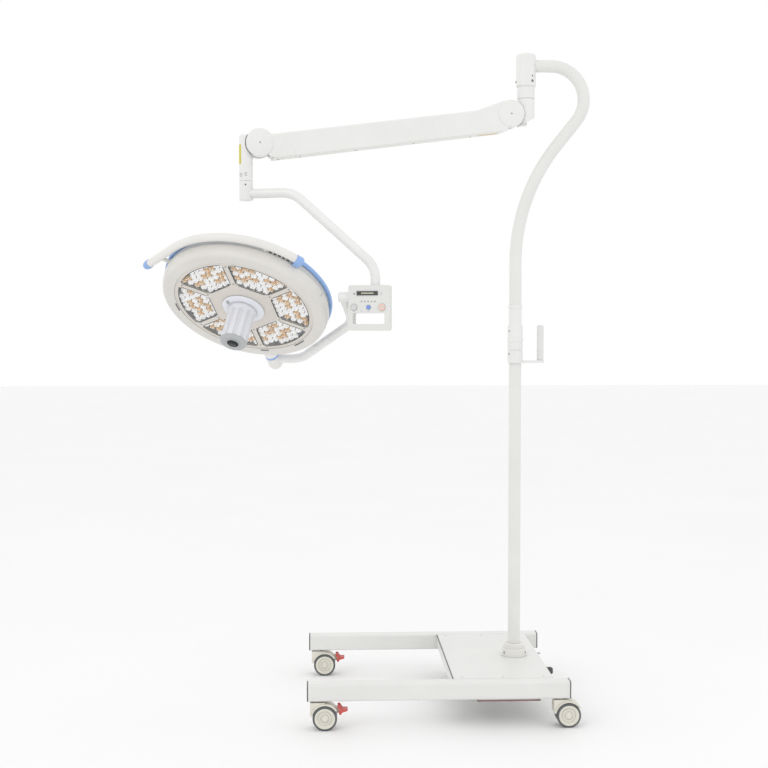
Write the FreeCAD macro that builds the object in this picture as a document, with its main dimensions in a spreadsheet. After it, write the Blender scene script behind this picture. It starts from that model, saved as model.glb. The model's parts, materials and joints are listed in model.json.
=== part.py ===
import FreeCAD, Part
import math
import os
import re
import Sketcher
from FreeCAD import Placement, Rotation, Vector

# Mobile surgical light: wheeled U-shaped base, bent pole, spring arm, drop tube with control box,
# yoke and LED head. Millimetres, +Z up. The origin is on the floor, under the middle of the outer box.

doc = FreeCAD.newDocument("surgical_light")

DIMS = {
    # wheeled base: X along the beams, Y across them
    "frame_left": -206,
    "frame_front": -316.5,
    "beam_length": 809,
    "beam_width": 50,
    "beam_height": 54,
    "beam_wall": 3,
    "beam_round": 7,
    "frame_depth": 690,
    "frame_low": 89,
    "cap_thick": 4,
    "deck_left": 451,
    "deck_length": 313,
    "deck_sheet": 3,
    "deck_flange": 40,
    # castors
    "wheel_radius": 37.5,
    "core_radius": 31,
    "wheel_wide": 18,
    "wheel_gap": 21,
    "axle_radius": 4,
    "trail": 24,
    "hood_radius": 44,
    "hood_wide": 50,
    "hood_clear": 1.5,
    "web_thick": 13,
    "stem_radius": 5.5,
    "running_gap": 0.05,
    "pedal_wide": 30,
    "pedal_pin": 2.5,
    # pole, sleeve and push handle
    "pole_along": 682,
    "tube_radius": 20,
    "tube_wall": 3,
    "socket_radius": 40,
    "socket_step": 25,
    "socket_high": 42,
    "sleeve_low": 1119,
    "sleeve_radius": 25,
    "sleeve_wide_high": 119,
    "sleeve_neck": 21.5,
    "sleeve_high": 183,
    "pole_top": 1230,
    "grip_reach": 83,
    "grip_radius": 11,
    "grip_high": 116,
    "arm_bar": 9,
    # bent upper tube, in the plane of the pole
    "rise": 210,
    "sweep_radius": 610,
    "sweep_angle": 38.5,
    "crook_radius": 108,
    "crook_top": 2078,
    # hub at the end of the bent tube
    "hub_shift": 32,
    "hub_radius": 32.5,
    "hub_low": 2010,
    "hub_high": 106,
    "collar_radius": 28.5,
    "collar_high": 39,
    "spindle_radius": 18,
    # spring arm
    "arm_yaw": 9,
    "arm_pitch": 8.1,
    "arm_length": 823,
    "rear_offset": 58,
    "front_offset": 41,
    "pivot_high": 1918,
    "disc_radius": 44,
    "disc_wide": 62,
    "tongue_radius": 34,
    "tongue_thick": 24,
    "pin_radius": 8,
    "link_drop": 22,
    "link_radius": 3.5,
    "arm_wide": 62,
    "arm_above": 23,
    "arm_below": 51,
    "arm_skin": 3,
    "spring_radius": 11,
    "spring_wire": 2,
    "spring_pitch": 14,
    "spring_length": 280,
    # front knuckle, drop tube and control box
    "knuckle_radius": 21.5,
    "knuckle_low": 1684.3,
    "knuckle_top": 1829,
    "drop_low": 1623,
    "drop_high": 60.8,
    "drop_axis": 1645,
    "drop_radius": 15,
    "drop_run": 154,
    "drop_reach": 417,
    "yoke_yaw": 16,
    "tilt_high": 1320,
    "box_near": 336,
    "box_wide": 128,
    "box_high": 139,
    "box_low": 1217,
    "box_deep": 40,
    "box_wall": 3,
    "loop_wide": 100,
    "loop_high": 33,
    "window_wide": 68,
    "window_high": 14,
    # yoke and head, in the head's own frame: X to the control box, Y to the head pivot, Z to the back
    "head_tilt": 54,
    "head_swing": 3,
    "yoke_radius": 15,
    "yoke_side": 318,
    "yoke_back": 335,
    "block_radius": 16,
    "tilt_spindle": 9,
    "headhub_radius": 24,
    "turn_spindle": 9,
    "shell_radius": 266,
    "trim_radius": 269.5,
    "panel_radius": 222,
    "panel_front": 38,
    "bar_radius": 12.5,
    "bar_circle": 288,
    "grip_core": 22.5,
    "handle_radius": 42,
    "handle_tip": 175,
}

sheet = doc.addObject("Spreadsheet::Sheet", "Dims")
for row, (alias, value) in enumerate(DIMS.items(), start=1):
    sheet.set("A%d" % row, alias)
    sheet.set("B%d" % row, str(value))
    sheet.setAlias("B%d" % row, alias)
doc.recompute()
dim = {alias: float(sheet.get(alias)) for alias in DIMS}

UP = Vector(0, 0, 1)
ALONG = Vector(1, 0, 0)
ACROSS = Vector(0, 1, 0)
FULL_TURN = 360
nodes = []


# ---------------------------------------------------------------- helpers

def bound(text):
    """An expression in the sheet's words, ready for setExpression."""
    return re.sub(r"[a-z_]{3,}", lambda word: "Dims." + word.group(0), str(text))


def bind(thing, **sizes):
    for size, text in sizes.items():
        thing.setExpression(size, bound(text))
    return thing


def frame(origin, x_axis=ALONG, z_axis=UP):
    return Placement(Vector(origin), Rotation(Vector(x_axis), Vector(), Vector(z_axis), "ZXY"))


def toward(direction, base=(0, 0, 0)):
    return Placement(Vector(base), Rotation(UP, Vector(direction)))


def cylinder(name, radius, height, base=(0, 0, 0), direction=UP):
    thing = bind(doc.addObject("Part::Cylinder", name), Radius=radius, Height=height)
    thing.Placement = toward(direction, base)
    return thing


def box(name, length, width, height, base=(0, 0, 0)):
    """A box that starts at base in X and Z and is centred on base in Y."""
    thing = bind(doc.addObject("Part::Box", name), Length=length, Width=width, Height=height)
    doc.recompute()
    thing.Placement = Placement(Vector(base) - Vector(0, thing.Width.Value / 2, 0), Rotation())
    return thing


def fuse(name, pieces):
    thing = doc.addObject("Part::MultiFuse", name)
    thing.Shapes = pieces
    thing.Refine = True
    return thing


def cut(name, base, tool):
    thing = doc.addObject("Part::Cut", name)
    thing.Base = base
    thing.Tool = tool
    thing.Refine = True
    return thing


def common(name, base, tool):
    thing = doc.addObject("Part::Common", name)
    thing.Base = base
    thing.Tool = tool
    return thing


def group(name, pieces):
    """Equal pieces that share one node, kept as separate solids."""
    thing = doc.addObject("Part::Compound", name)
    thing.Links = pieces
    return thing


def copy_at(name, source, placement):
    """The same piece again at another place."""
    twin = doc.addObject("Part::Feature", name)
    doc.recompute()
    twin.Shape = source.Shape.copy()
    twin.Placement = placement.multiply(source.Placement)
    return twin


def round_edges(name, base, radius, chosen):
    """Fillets the edges of base that chosen(edge) accepts."""
    doc.recompute()
    numbers = [i for i, edge in enumerate(base.Shape.Edges, start=1) if chosen(edge)]
    if not numbers:
        raise RuntimeError("no edge to round on " + name)
    thing = doc.addObject("Part::Fillet", name)
    thing.Base = base
    thing.Edges = [(i, dim[radius] if radius in dim else radius, dim[radius] if radius in dim else radius)
                   for i in numbers]
    return thing


def is_line_along(edge, axis):
    if not isinstance(edge.Curve, Part.Line):
        return False
    return abs(abs(edge.tangentAt(edge.FirstParameter).dot(Vector(axis))) - 1) < 1e-6


def origin_plane(body, role):
    return next(item for item in body.Origin.OriginFeatures if item.Role == role)


def sketch_on(body, name, role):
    sketch = body.newObject("Sketcher::SketchObject", name)
    sketch.AttachmentSupport = [(origin_plane(body, role), "")]
    sketch.MapMode = "FlatFace"
    return sketch


def outline(body, name, points, role="XZ_Plane"):
    """A closed outline whose corners are bound to the sheet, given as pairs of expressions."""
    sketch = sketch_on(body, name, role)
    count = len(points)
    start = [Vector(50 * math.cos(2 * math.pi * i / count), 50 * math.sin(2 * math.pi * i / count), 0)
             for i in range(count)]
    for i in range(count):
        sketch.addGeometry(Part.LineSegment(start[i], start[(i + 1) % count]), False)
    for i in range(count):
        sketch.addConstraint(Sketcher.Constraint("Coincident", i, 2, (i + 1) % count, 1))
    for i, (across, up) in enumerate(points):
        for kind, text, place in (("DistanceX", across, start[i].x), ("DistanceY", up, start[i].y)):
            number = sketch.addConstraint(Sketcher.Constraint(kind, -1, 1, i, 1, place))
            sketch.setExpression("Constraints[%d]" % number, bound(text))
    return sketch


def turned(name, points):
    """A PartDesign body turned about its own Z axis from (radius, height) corners."""
    body = doc.addObject("PartDesign::Body", name)
    turning = body.newObject("PartDesign::Revolution", name + "_turn")
    profile = outline(body, name + "_profile", points)
    turning.Profile = profile
    turning.ReferenceAxis = (profile, ["V_Axis"])
    turning.Angle = FULL_TURN
    body.Tip = turning
    return body


def plate(name, points, thickness, role="XZ_Plane"):
    """A PartDesign body padded both ways from the middle plane of its outline."""
    body = doc.addObject("PartDesign::Body", name)
    profile = outline(body, name + "_outline", points, role)
    pad = body.newObject("PartDesign::Pad", name + "_pad")
    pad.Profile = profile
    pad.Midplane = True
    pad.setExpression("Length", bound(thickness))
    body.Tip = pad
    return body


def bends(corners, radii):
    """Line and arc geometry along corners (x, z), with one radius per inner corner."""
    pieces = []
    here = Vector(*corners[0], 0)
    for index, radius in enumerate(radii, start=1):
        corner = Vector(*corners[index], 0)
        before = (corner - Vector(*corners[index - 1], 0)).normalize()
        after = (Vector(*corners[index + 1], 0) - corner).normalize()
        turn = before.getAngle(after)
        reach = radius * math.tan(turn / 2)
        start = corner - before * reach
        end = corner + after * reach
        middle_line = (after - before).normalize()
        centre = corner + middle_line * (radius / math.cos(turn / 2))
        middle = centre - middle_line * radius
        pieces.append(Part.LineSegment(here, start))
        pieces.append(Part.Arc(start, middle, end))
        here = end
    pieces.append(Part.LineSegment(here, Vector(*corners[-1], 0)))
    return pieces


def tube(name, route, radius, wall=None):
    """A pipe swept along route, which starts at the origin and sets out along Z in the XZ plane."""
    body = doc.addObject("PartDesign::Body", name)
    path = sketch_on(body, name + "_route", "XZ_Plane")
    for piece in route:
        path.addGeometry(piece, False)
    section = sketch_on(body, name + "_section", "XY_Plane")
    rings = [radius] if wall is None else [radius, "%s - %s" % (radius, wall)]
    for text in rings:
        number = section.addGeometry(Part.Circle(Vector(), UP, 10 + len(text)), False)
        section.addConstraint(Sketcher.Constraint("Coincident", number, 3, -1, 1))
        size = section.addConstraint(Sketcher.Constraint("Radius", number, 10 + len(text)))
        section.setExpression("Constraints[%d]" % size, bound(text))
    doc.recompute()
    pipe = body.newObject("PartDesign::AdditivePipe", name + "_pipe")
    pipe.Profile = section
    pipe.Spine = path
    body.Tip = pipe
    return body


def keep(node, thing, placement=None):
    """Names a finished sub-part and puts it in its place."""
    thing.Label = node
    if placement is not None:
        thing.Placement = placement.multiply(thing.Placement)
    nodes.append((node, thing))
    return thing


# ---------------------------------------------------------------- places

FRAME_LEFT = dim["frame_left"]
FRAME_FRONT = dim["frame_front"]
FRAME_TOP = dim["frame_low"] + dim["beam_height"]
BEAM_MIDDLES = [FRAME_FRONT + dim["beam_width"] / 2,
                FRAME_FRONT + dim["frame_depth"] - dim["beam_width"] / 2]
POLE = Vector(FRAME_LEFT + dim["pole_along"], FRAME_FRONT + dim["frame_depth"] / 2, 0)
HUB = POLE + Vector(dim["hub_shift"], 0, 0)

yaw = math.radians(dim["arm_yaw"])
pitch = math.radians(dim["arm_pitch"])
ARM_OUT = Vector(-math.cos(yaw), -math.sin(yaw), 0)
ARM_SIDE = UP.cross(ARM_OUT)
ARM_LINE = ARM_OUT * math.cos(pitch) - UP * math.sin(pitch)
REAR_PIVOT = HUB + ARM_OUT * dim["rear_offset"] + UP * dim["pivot_high"]
FRONT_PIVOT = REAR_PIVOT + ARM_LINE * dim["arm_length"]
DROP_AXIS = FRONT_PIVOT + ARM_OUT * dim["front_offset"]
HEAD = Vector(DROP_AXIS.x, DROP_AXIS.y, dim["tilt_high"])

turn = math.radians(dim["yoke_yaw"])
lean = math.radians(dim["head_tilt"])
YOKE_OUT = Vector(math.cos(turn), -math.sin(turn), 0)
AWAY = UP.cross(YOKE_OUT)
HEAD_BACK = AWAY * math.cos(lean) + UP * math.sin(lean)

CARRIER_FRAME = frame(REAR_PIVOT, ARM_OUT)
ARM_FRAME = frame(REAR_PIVOT, ARM_LINE, ARM_LINE.cross(ARM_SIDE))
KNUCKLE_FRAME = frame(FRONT_PIVOT, ARM_OUT)
DROP_FRAME = frame(HEAD, YOKE_OUT)
YOKE_FRAME = frame(HEAD, YOKE_OUT, HEAD_BACK)
HEAD_FRAME = YOKE_FRAME.multiply(Placement(Vector(), Rotation(ACROSS, dim["head_swing"])))

# Castors: name, swivel centre along the beam, which beam, and which way the wheels trail.
CASTORS = [
    ("fl", 30.5, 0, 1),
    ("bl", 30.5, 1, 1),
    ("fr", 778.5, 0, 1),
    ("br", 778.5, 1, -1),
]


# ---------------------------------------------------------------- wheeled base

def make_beams():
    beams = []
    for place, middle in zip(("front", "back"), BEAM_MIDDLES):
        outer = box(place + "_beam_outer", "beam_length - 2 * cap_thick", "beam_width", "beam_height",
                    (FRAME_LEFT + dim["cap_thick"], middle, dim["frame_low"]))
        rounded = round_edges(place + "_beam_rounded", outer, "beam_round",
                              lambda edge: is_line_along(edge, ALONG))
        inner = box(place + "_beam_inner", "beam_length", "beam_width - 2 * beam_wall",
                    "beam_height - 2 * beam_wall",
                    (FRAME_LEFT, middle, dim["frame_low"] + dim["beam_wall"]))
        beams.append(cut(place + "_beam", rounded, inner))
    keep("frame_beams", group("beams", beams))


def make_end_caps():
    """A flat cap on each beam end, with a plug that fills the tube's mouth."""
    cover = box("cap_cover", "cap_thick", "beam_width", "beam_height")
    rounded = round_edges("cap_rounded", cover, "beam_round", lambda edge: is_line_along(edge, ALONG))
    plug = box("cap_plug", "18", "beam_width - 2 * beam_wall - 0.4", "beam_height - 2 * beam_wall - 0.4",
               (dim["cap_thick"], 0, dim["beam_wall"] + 0.2))
    cap = fuse("cap", [rounded, plug])
    caps = []
    for index, middle in enumerate(BEAM_MIDDLES):
        left = frame((FRAME_LEFT, middle, dim["frame_low"]))
        right = frame((FRAME_LEFT + dim["beam_length"], middle, dim["frame_low"]), -ALONG)
        caps.append(copy_at("cap_left_%d" % index, cap, left))
        caps.append(copy_at("cap_right_%d" % index, cap, right))
    keep("beam_end_caps", group("caps", caps))


DECK_RIGHT = FRAME_LEFT + dim["deck_left"] + dim["deck_length"]
GLAND = Vector(DECK_RIGHT, FRAME_FRONT + 195, 126)
BOND = Vector(DECK_RIGHT, FRAME_FRONT + 430, 124)


def make_deck():
    """A sheet tray between the beams, with its left and right edges folded down."""
    inside = "frame_depth - 2 * beam_width"
    top = box("deck_top", "deck_length", inside, "deck_sheet",
              (FRAME_LEFT + dim["deck_left"], POLE.y, FRAME_TOP - dim["deck_sheet"] - 1))
    left = box("deck_fold_left", "deck_sheet", inside, "deck_flange",
               (FRAME_LEFT + dim["deck_left"], POLE.y, FRAME_TOP - dim["deck_flange"] - 1))
    right = box("deck_fold_right", "deck_sheet", inside, "deck_flange",
                (DECK_RIGHT - dim["deck_sheet"], POLE.y, FRAME_TOP - dim["deck_flange"] - 1))
    tray = fuse("deck_tray", [top, left, right])
    for name, radius, place in (("gland", "8.2", GLAND), ("bond", "3.7", BOND)):
        hole = cylinder("deck_hole_" + name, radius, "20", place - ALONG * 10, ALONG)
        tray = cut("deck_with_%s_hole" % name, tray, hole)
    keep("deck", round_edges("deck_rounded", tray, 2.5,
                             lambda edge: is_line_along(edge, ACROSS)
                             and edge.CenterOfMass.z > FRAME_TOP - 1.5))


POWER_NEAR = dim["beam_width"] + 101
POWER_LEFT = 528
POWER_LOW = 70
POWER_WALL = 3


def make_power_box():
    """The driver housing hung under the deck, with the power supply inside it."""
    high = FRAME_TOP - dim["deck_sheet"] - 1 - POWER_LOW
    corner = Vector(FRAME_LEFT + POWER_LEFT, FRAME_FRONT + POWER_NEAR, POWER_LOW)
    shell = box("power_shell", "194", "200", str(high), corner)
    rounded = round_edges("power_rounded", shell, 6, lambda edge: is_line_along(edge, UP))
    inside = corner + Vector(POWER_WALL, 0, POWER_WALL)
    hollow = box("power_hollow", "188", "194", str(high - 2 * POWER_WALL), inside)
    keep("power_box", cut("power_case", rounded, hollow))
    unit = box("supply_unit", "150", "110", "34", inside + Vector(15, 0, 0))
    fins = [box("supply_fin_%d" % k, "150", "3", "8", inside + Vector(15, 10 * k - 40, 34)) for k in range(9)]
    keep("power_supply", fuse("supply_piece", [unit] + fins))


def make_gland():
    """Cable gland for the mains cable: thread, flange, hexagon and a domed clamping nut."""
    body = turned("gland_body", [("4.5", "-14"), ("8", "-14"), ("8", "0"), ("13", "0"), ("13", "3"),
                                 ("11.5", "3"), ("11.5", "8"), ("12", "8"), ("12", "16"), ("9", "21"),
                                 ("4.5", "21")])
    keep("mains_gland", body, toward(ALONG, GLAND))


def make_bonding_pin():
    """Equipotential bonding pin: flange, hexagon foot and a plain 6 mm pin."""
    body = turned("bond_body", [("0", "-10"), ("3.5", "-10"), ("3.5", "0"), ("8", "0"), ("8", "5"),
                                ("3", "5"), ("3", "19.2"), ("2.2", "20"), ("0", "20")])
    keep("bonding_pin", body, toward(ALONG, BOND))


# ---------------------------------------------------------------- castors

PEDAL_PIVOT = (44, 24)
AXLE_HIGH = dim["wheel_radius"]
HOOD_TOP = dim["frame_low"] - 4


def castor_frame(along, beam, trail_way):
    """Origin under the swivel, X the way the wheels trail."""
    return frame((FRAME_LEFT + along, BEAM_MIDDLES[beam], 0), ALONG * trail_way)


def make_castor_stems():
    """Kingpins fixed under the beams, each with a round flange against the beam."""
    stem = turned("stem", [("0", "58"), ("stem_radius", "58"), ("stem_radius", "frame_low - 3"),
                           ("16", "frame_low - 3"), ("16", "frame_low"), ("0", "frame_low")])
    stems = [copy_at("stem_" + name, stem, castor_frame(along, beam, way))
             for name, along, beam, way in CASTORS]
    keep("castor_stems", group("stems", stems))


def make_hood(name, placement, has_pedal):
    """Moulded hood: an arched cover over both wheels, a kingpin housing and a web that carries the axle."""
    centre = Vector(dim["trail"], 0, AXLE_HIGH)
    side = Vector(0, -1, 0)
    half = dim["hood_wide"] / 2
    arch = cylinder(name + "_arch", "hood_radius", "hood_wide", centre - side * half, side)
    housing = box(name + "_housing", "trail + 21", "hood_wide - 6", "frame_low - 4 - 48", (-21, 0, 48))
    lower = box(name + "_lower", "200", "100", "100", (-100, 0, -100 + AXLE_HIGH + 6))
    pedal_side = box(name + "_pedal_side", "60", "100", "100",
                     (dim["trail"] + (28 if has_pedal else 34), 0, -40))
    above = box(name + "_above", "200", "100", "60", (-100, 0, HOOD_TOP))
    cover = cut(name + "_cover_a", fuse(name + "_cover", [arch, housing]), lower)
    cover = cut(name + "_cover_b", cover, pedal_side)
    cover = cut(name + "_cover_c", cover, above)
    for word, way in (("front", -1), ("back", 1)):
        room = cylinder(name + "_room_" + word, "wheel_radius + hood_clear", "40",
                        centre + Vector(0, way * dim["web_thick"] / 2, 0), Vector(0, way, 0))
        cover = cut(name + "_arched_" + word, cover, room)
    web = cylinder(name + "_web", "30", "web_thick", centre - side * (dim["web_thick"] / 2), side)
    pieces = [cover, web]
    if has_pedal:
        arm = plate(name + "_pedal_arm",
                    [("trail + 10", "wheel_radius + 2"), ("trail + 48", "wheel_radius + 16"),
                     ("trail + 48", "wheel_radius + 30"), ("trail + 34", "wheel_radius + 33"),
                     ("trail", "wheel_radius + 29")], "web_thick")
        pin = cylinder(name + "_pedal_pin", "pedal_pin", "pedal_wide - 4",
                       (dim["trail"] + PEDAL_PIVOT[0], -dim["pedal_wide"] / 2 + 2, AXLE_HIGH + PEDAL_PIVOT[1]),
                       ACROSS)
        pieces += [arm, pin]
    hood = fuse(name + "_solid", pieces)
    kingpin = cylinder(name + "_kingpin_bore", "stem_radius + running_gap", "60", (0, 0, 57.5))
    hood = cut(name + "_bored", hood, kingpin)
    axle = cylinder(name + "_axle_bore", "axle_radius + running_gap", "60", centre - side * 30, side)
    keep(name, cut(name + "_piece", hood, axle), placement)


def make_wheel_pair(name, placement):
    """Two wheel discs with a raised rim and hub, joined by the axle that turns in the web."""
    gap = "wheel_gap / 2"
    wide = "(wheel_gap / 2 + wheel_wide)"
    right = [("0", "0"), ("0", wide + " - 1"), ("9", wide + " - 1"), ("11", wide + " - 4"),
             ("22", wide + " - 4"), ("26", wide), ("core_radius", wide), ("core_radius", gap),
             ("axle_radius", gap), ("axle_radius", "0")]
    near = turned(name + "_near", right)
    far = turned(name + "_far", right)
    far.Placement = Placement(Vector(), Rotation(ALONG, 180))
    pair = fuse(name + "_pair", [near, far])
    place = Placement(Vector(dim["trail"], 0, AXLE_HIGH), Rotation(ALONG, 90))
    keep(name, pair, placement.multiply(place))


def make_tyres(name, placement):
    """A soft tread ring on each wheel, with rounded shoulders."""
    rings = []
    for way in (-1, 1):
        ring = turned("%s_ring_%s" % (name, "near" if way > 0 else "far"),
                      [("core_radius", "wheel_gap / 2"), ("wheel_radius - 2", "wheel_gap / 2"),
                       ("wheel_radius", "wheel_gap / 2 + 2"),
                       ("wheel_radius", "wheel_gap / 2 + wheel_wide - 3"),
                       ("wheel_radius - 3", "wheel_gap / 2 + wheel_wide"),
                       ("core_radius", "wheel_gap / 2 + wheel_wide")])
        if way < 0:
            ring.Placement = Placement(Vector(), Rotation(ALONG, 180))
        rings.append(ring)
    place = Placement(Vector(dim["trail"], 0, AXLE_HIGH), Rotation(ALONG, 90))
    keep(name, group(name + "_rings", rings), placement.multiply(place))


def make_pedal(name, placement):
    """Brake pedal: a forked lever on the hood's pin, with a broad foot pad."""
    lever = plate(name + "_lever",
                  [("trail + 43.5", "wheel_radius + 9"), ("trail + 49", "wheel_radius + 8"),
                   ("trail + 53", "wheel_radius + 15"), ("trail + 69", "wheel_radius + 20"),
                   ("trail + 70", "wheel_radius + 26"), ("trail + 55", "wheel_radius + 26"),
                   ("trail + 47", "wheel_radius + 38"), ("trail + 39", "wheel_radius + 38"),
                   ("trail + 41", "wheel_radius + 22")], "pedal_wide")
    slot = box(name + "_slot", "26", "web_thick + 1.5", "60", (dim["trail"] + 28.5, 0, AXLE_HIGH - 5))
    pin = cylinder(name + "_bore", "pedal_pin + running_gap", "60",
                   (dim["trail"] + PEDAL_PIVOT[0], -30, AXLE_HIGH + PEDAL_PIVOT[1]), ACROSS)
    keep(name, cut(name + "_piece", cut(name + "_forked", lever, slot), pin), placement)


def make_castors():
    for name, along, beam, way in CASTORS:
        placement = castor_frame(along, beam, way)
        has_pedal = name.endswith("l")
        make_hood("castor_hood_" + name, placement, has_pedal)
        make_wheel_pair("castor_wheels_" + name, placement)
        make_tyres("castor_tyres_" + name, placement)
        if has_pedal:
            make_pedal("brake_pedal_" + name, placement)


# ---------------------------------------------------------------- pole

def make_socket():
    body = turned("socket_body", [("tube_radius", "0"), ("socket_radius", "0"),
                                  ("socket_radius", "socket_step - 2"), ("socket_radius - 2", "socket_step"),
                                  ("socket_radius - 7", "socket_step"),
                                  ("socket_radius - 7", "socket_high - 3"),
                                  ("socket_radius - 10", "socket_high"), ("tube_radius", "socket_high")])
    keep("pole_socket", body, frame(POLE + UP * (FRAME_TOP - 1)))


def make_pole():
    low = FRAME_TOP - 1
    route = [Part.LineSegment(Vector(), Vector(0, dim["pole_top"] - low, 0))]
    keep("pole", tube("pole_tube", route, "tube_radius", "tube_wall"), frame(POLE + UP * low))


def make_sleeve():
    """Coupling sleeve over the joint between pole and bent tube, with two raised bands."""
    body = turned("sleeve_body", [
        ("tube_radius", "0"), ("sleeve_radius", "0"), ("sleeve_radius", "31"),
        ("sleeve_radius - 1.5", "32"), ("sleeve_radius - 1.5", "35"), ("sleeve_radius", "36"),
        ("sleeve_radius", "60"), ("sleeve_radius + 1", "61"), ("sleeve_radius + 1", "74"),
        ("sleeve_radius", "75"), ("sleeve_radius", "sleeve_wide_high - 6"),
        ("sleeve_neck", "sleeve_wide_high"), ("sleeve_neck", "sleeve_high - 13"),
        ("sleeve_neck + 1.5", "sleeve_high - 12"), ("sleeve_neck + 1.5", "sleeve_high - 2"),
        ("sleeve_neck", "sleeve_high"), ("tube_radius", "sleeve_high")])
    keep("pole_sleeve", body, frame(POLE + UP * dim["sleeve_low"]))


def make_push_handle():
    """A flat bar from the sleeve's foot that carries an upright grip; the bar's eye hugs the pole."""
    reach = dim["grip_reach"]
    bar = box("push_bar", "grip_reach - tube_radius", "24", "arm_bar", (dim["tube_radius"], 0, 0))
    end = cylinder("push_bar_end", "12", "arm_bar", (reach, 0, 0))
    eye = cylinder("push_eye", "sleeve_radius", "arm_bar")
    core = cylinder("push_core", "5", "arm_bar + grip_high - 6", (reach, 0, 0))
    handle = fuse("push_solid", [bar, end, eye, core])
    bore = cylinder("push_bore", "tube_radius", "60", (0, 0, -20))
    low = dim["sleeve_low"] - dim["arm_bar"]
    keep("push_handle", cut("push_piece", handle, bore), frame(POLE + UP * low))
    grip = turned("grip_body", [("5", "0"), ("grip_radius - 1.5", "0"), ("grip_radius", "3"),
                                ("grip_radius", "grip_high - 5"), ("grip_radius - 4", "grip_high"),
                                ("0", "grip_high"), ("0", "grip_high - 6"), ("5", "grip_high - 6")])
    keep("push_grip", grip, frame(POLE + ALONG * reach + UP * dim["sleeve_low"]))


def make_bent_tube():
    """Straight foot, long sweep to the right, then a tight crook back to the hub."""
    angle = math.radians(dim["sweep_angle"])
    sweep = dim["sweep_radius"]
    crook = dim["crook_radius"]
    top = dim["crook_top"] - dim["pole_top"]
    out = Vector(math.cos(angle), math.sin(angle), 0)
    heading = Vector(math.sin(angle), math.cos(angle), 0)
    foot = Vector(0, dim["rise"], 0)
    sweep_centre = foot + Vector(sweep, 0, 0)
    half = Vector(math.cos(angle / 2), -math.sin(angle / 2), 0)
    sweep_end = sweep_centre - Vector(out.x, -out.y, 0) * sweep
    crook_start_high = top - crook * (1 + math.sin(angle))
    crook_start = sweep_end + heading * ((crook_start_high - sweep_end.y) / math.cos(angle))
    crook_centre = crook_start - Vector(out.x, -out.y, 0) * crook
    middle_angle = (math.pi / 2 - angle) / 2
    crook_middle = crook_centre + Vector(math.cos(middle_angle), math.sin(middle_angle), 0) * crook
    crook_end = crook_centre + Vector(0, crook, 0)
    route = [
        Part.LineSegment(Vector(), foot),
        Part.Arc(foot, sweep_centre - half * sweep, sweep_end),
        Part.LineSegment(sweep_end, crook_start),
        Part.Arc(crook_start, crook_middle, crook_end),
        Part.LineSegment(crook_end, Vector(dim["hub_shift"] + dim["hub_radius"] - 6, crook_end.y, 0)),
    ]
    keep("bent_tube", tube("bent_tube_body", route, "tube_radius", "tube_wall"),
         frame(POLE + UP * dim["pole_top"]))


def make_hub():
    """Hub cap and bearing collar: the bent tube enters its side, the arm's spindle its foot."""
    body = turned("hub_body", [("0", "hub_high"), ("hub_radius - 8", "hub_high"),
                               ("hub_radius - 2", "hub_high - 3"),
                               ("hub_radius", "hub_high - 8"), ("hub_radius", "3"),
                               ("hub_radius - 2", "0"), ("collar_radius", "0"),
                               ("collar_radius", "-collar_high"),
                               ("spindle_radius + running_gap", "-collar_high"),
                               ("spindle_radius + running_gap", "24"), ("0", "24")])
    side = cylinder("hub_side_bore", "tube_radius", "40",
                    (dim["hub_radius"] - 6, 0, dim["crook_top"] - dim["hub_low"]), ALONG)
    outward = Vector(0.52, -0.85, 0)
    screw = cylinder("hub_screw_hole", "3.2", "14", outward * (dim["hub_radius"] - 8) + UP * 32, outward)
    hub = cut("hub_with_side", body, side)
    keep("arm_hub", cut("hub_piece", hub, screw), frame(HUB + UP * dim["hub_low"]))


# ---------------------------------------------------------------- spring arm

def pivot_cheek_room(name):
    """Two round pockets, one each side of the tongue, in which the arm's end discs turn."""
    half = dim["tongue_thick"] / 2
    return [cylinder("%s_%s" % (name, word), "disc_radius + 2", "60", (0, way * half, 0), Vector(0, way, 0))
            for word, way in (("near", -1), ("far", 1))]


def tongue(name, reach):
    """A round tongue about the pivot and a web of the same thickness that reaches back to its post."""
    disc = cylinder(name + "_disc", "tongue_radius", "tongue_thick", (0, -dim["tongue_thick"] / 2, 0), ACROSS)
    web = box(name + "_web", str(abs(reach)), "tongue_thick", "2 * tongue_radius",
              (min(reach, 0), 0, -dim["tongue_radius"]))
    return [disc, web]


def slotted(name, solid, top_line, way):
    """Cuts the link's slot below top_line and the pivot bore, and adds the link's pin across the slot."""
    corners = [(-8 * way, -15)] + top_line + [(40 * way, -60), (-8 * way, -60)]
    slot = plate(name + "_slot", [(str(x), str(z)) for x, z in corners], "11")
    bore = cylinder(name + "_pin_bore", "pin_radius + running_gap", "100", (0, -50, 0), ACROSS)
    link_pin = cylinder(name + "_link_pin", "3", "18", (0, -9, -dim["link_drop"]), ACROSS)
    bored = cut(name + "_bored", cut(name + "_slotted", solid, slot), bore)
    return fuse(name + "_with_link_pin", [bored, link_pin])


def make_rear_knuckle():
    """Turns on a spindle in the hub and carries the arm's rear pivot."""
    back = -dim["rear_offset"]
    top = dim["hub_low"] - dim["collar_high"] - 1 - dim["pivot_high"]
    low = -46
    solid = cylinder("rear_post", "collar_radius", str(top - low), (back, 0, low))
    slope = plate("rear_slope", [(str(back - 40), "0"), (str(back - 31), "-6"), ("-14", "-47"), ("0", "-60"),
                                 (str(back - 40), "-60")], "200")
    solid = cut("rear_sloped", solid, slope)
    for room in pivot_cheek_room("rear_room"):
        solid = cut(room.Name + "_cut", solid, room)
    solid = slotted("rear_tongue", fuse("rear_all", [solid] + tongue("rear_tongue", back)),
                    [(2, -15), (40, 6)], 1)
    spindle = cylinder("rear_spindle", "spindle_radius", "60", (back, 0, top))
    keep("arm_knuckle", fuse("rear_piece", [solid, spindle]), CARRIER_FRAME)


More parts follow.
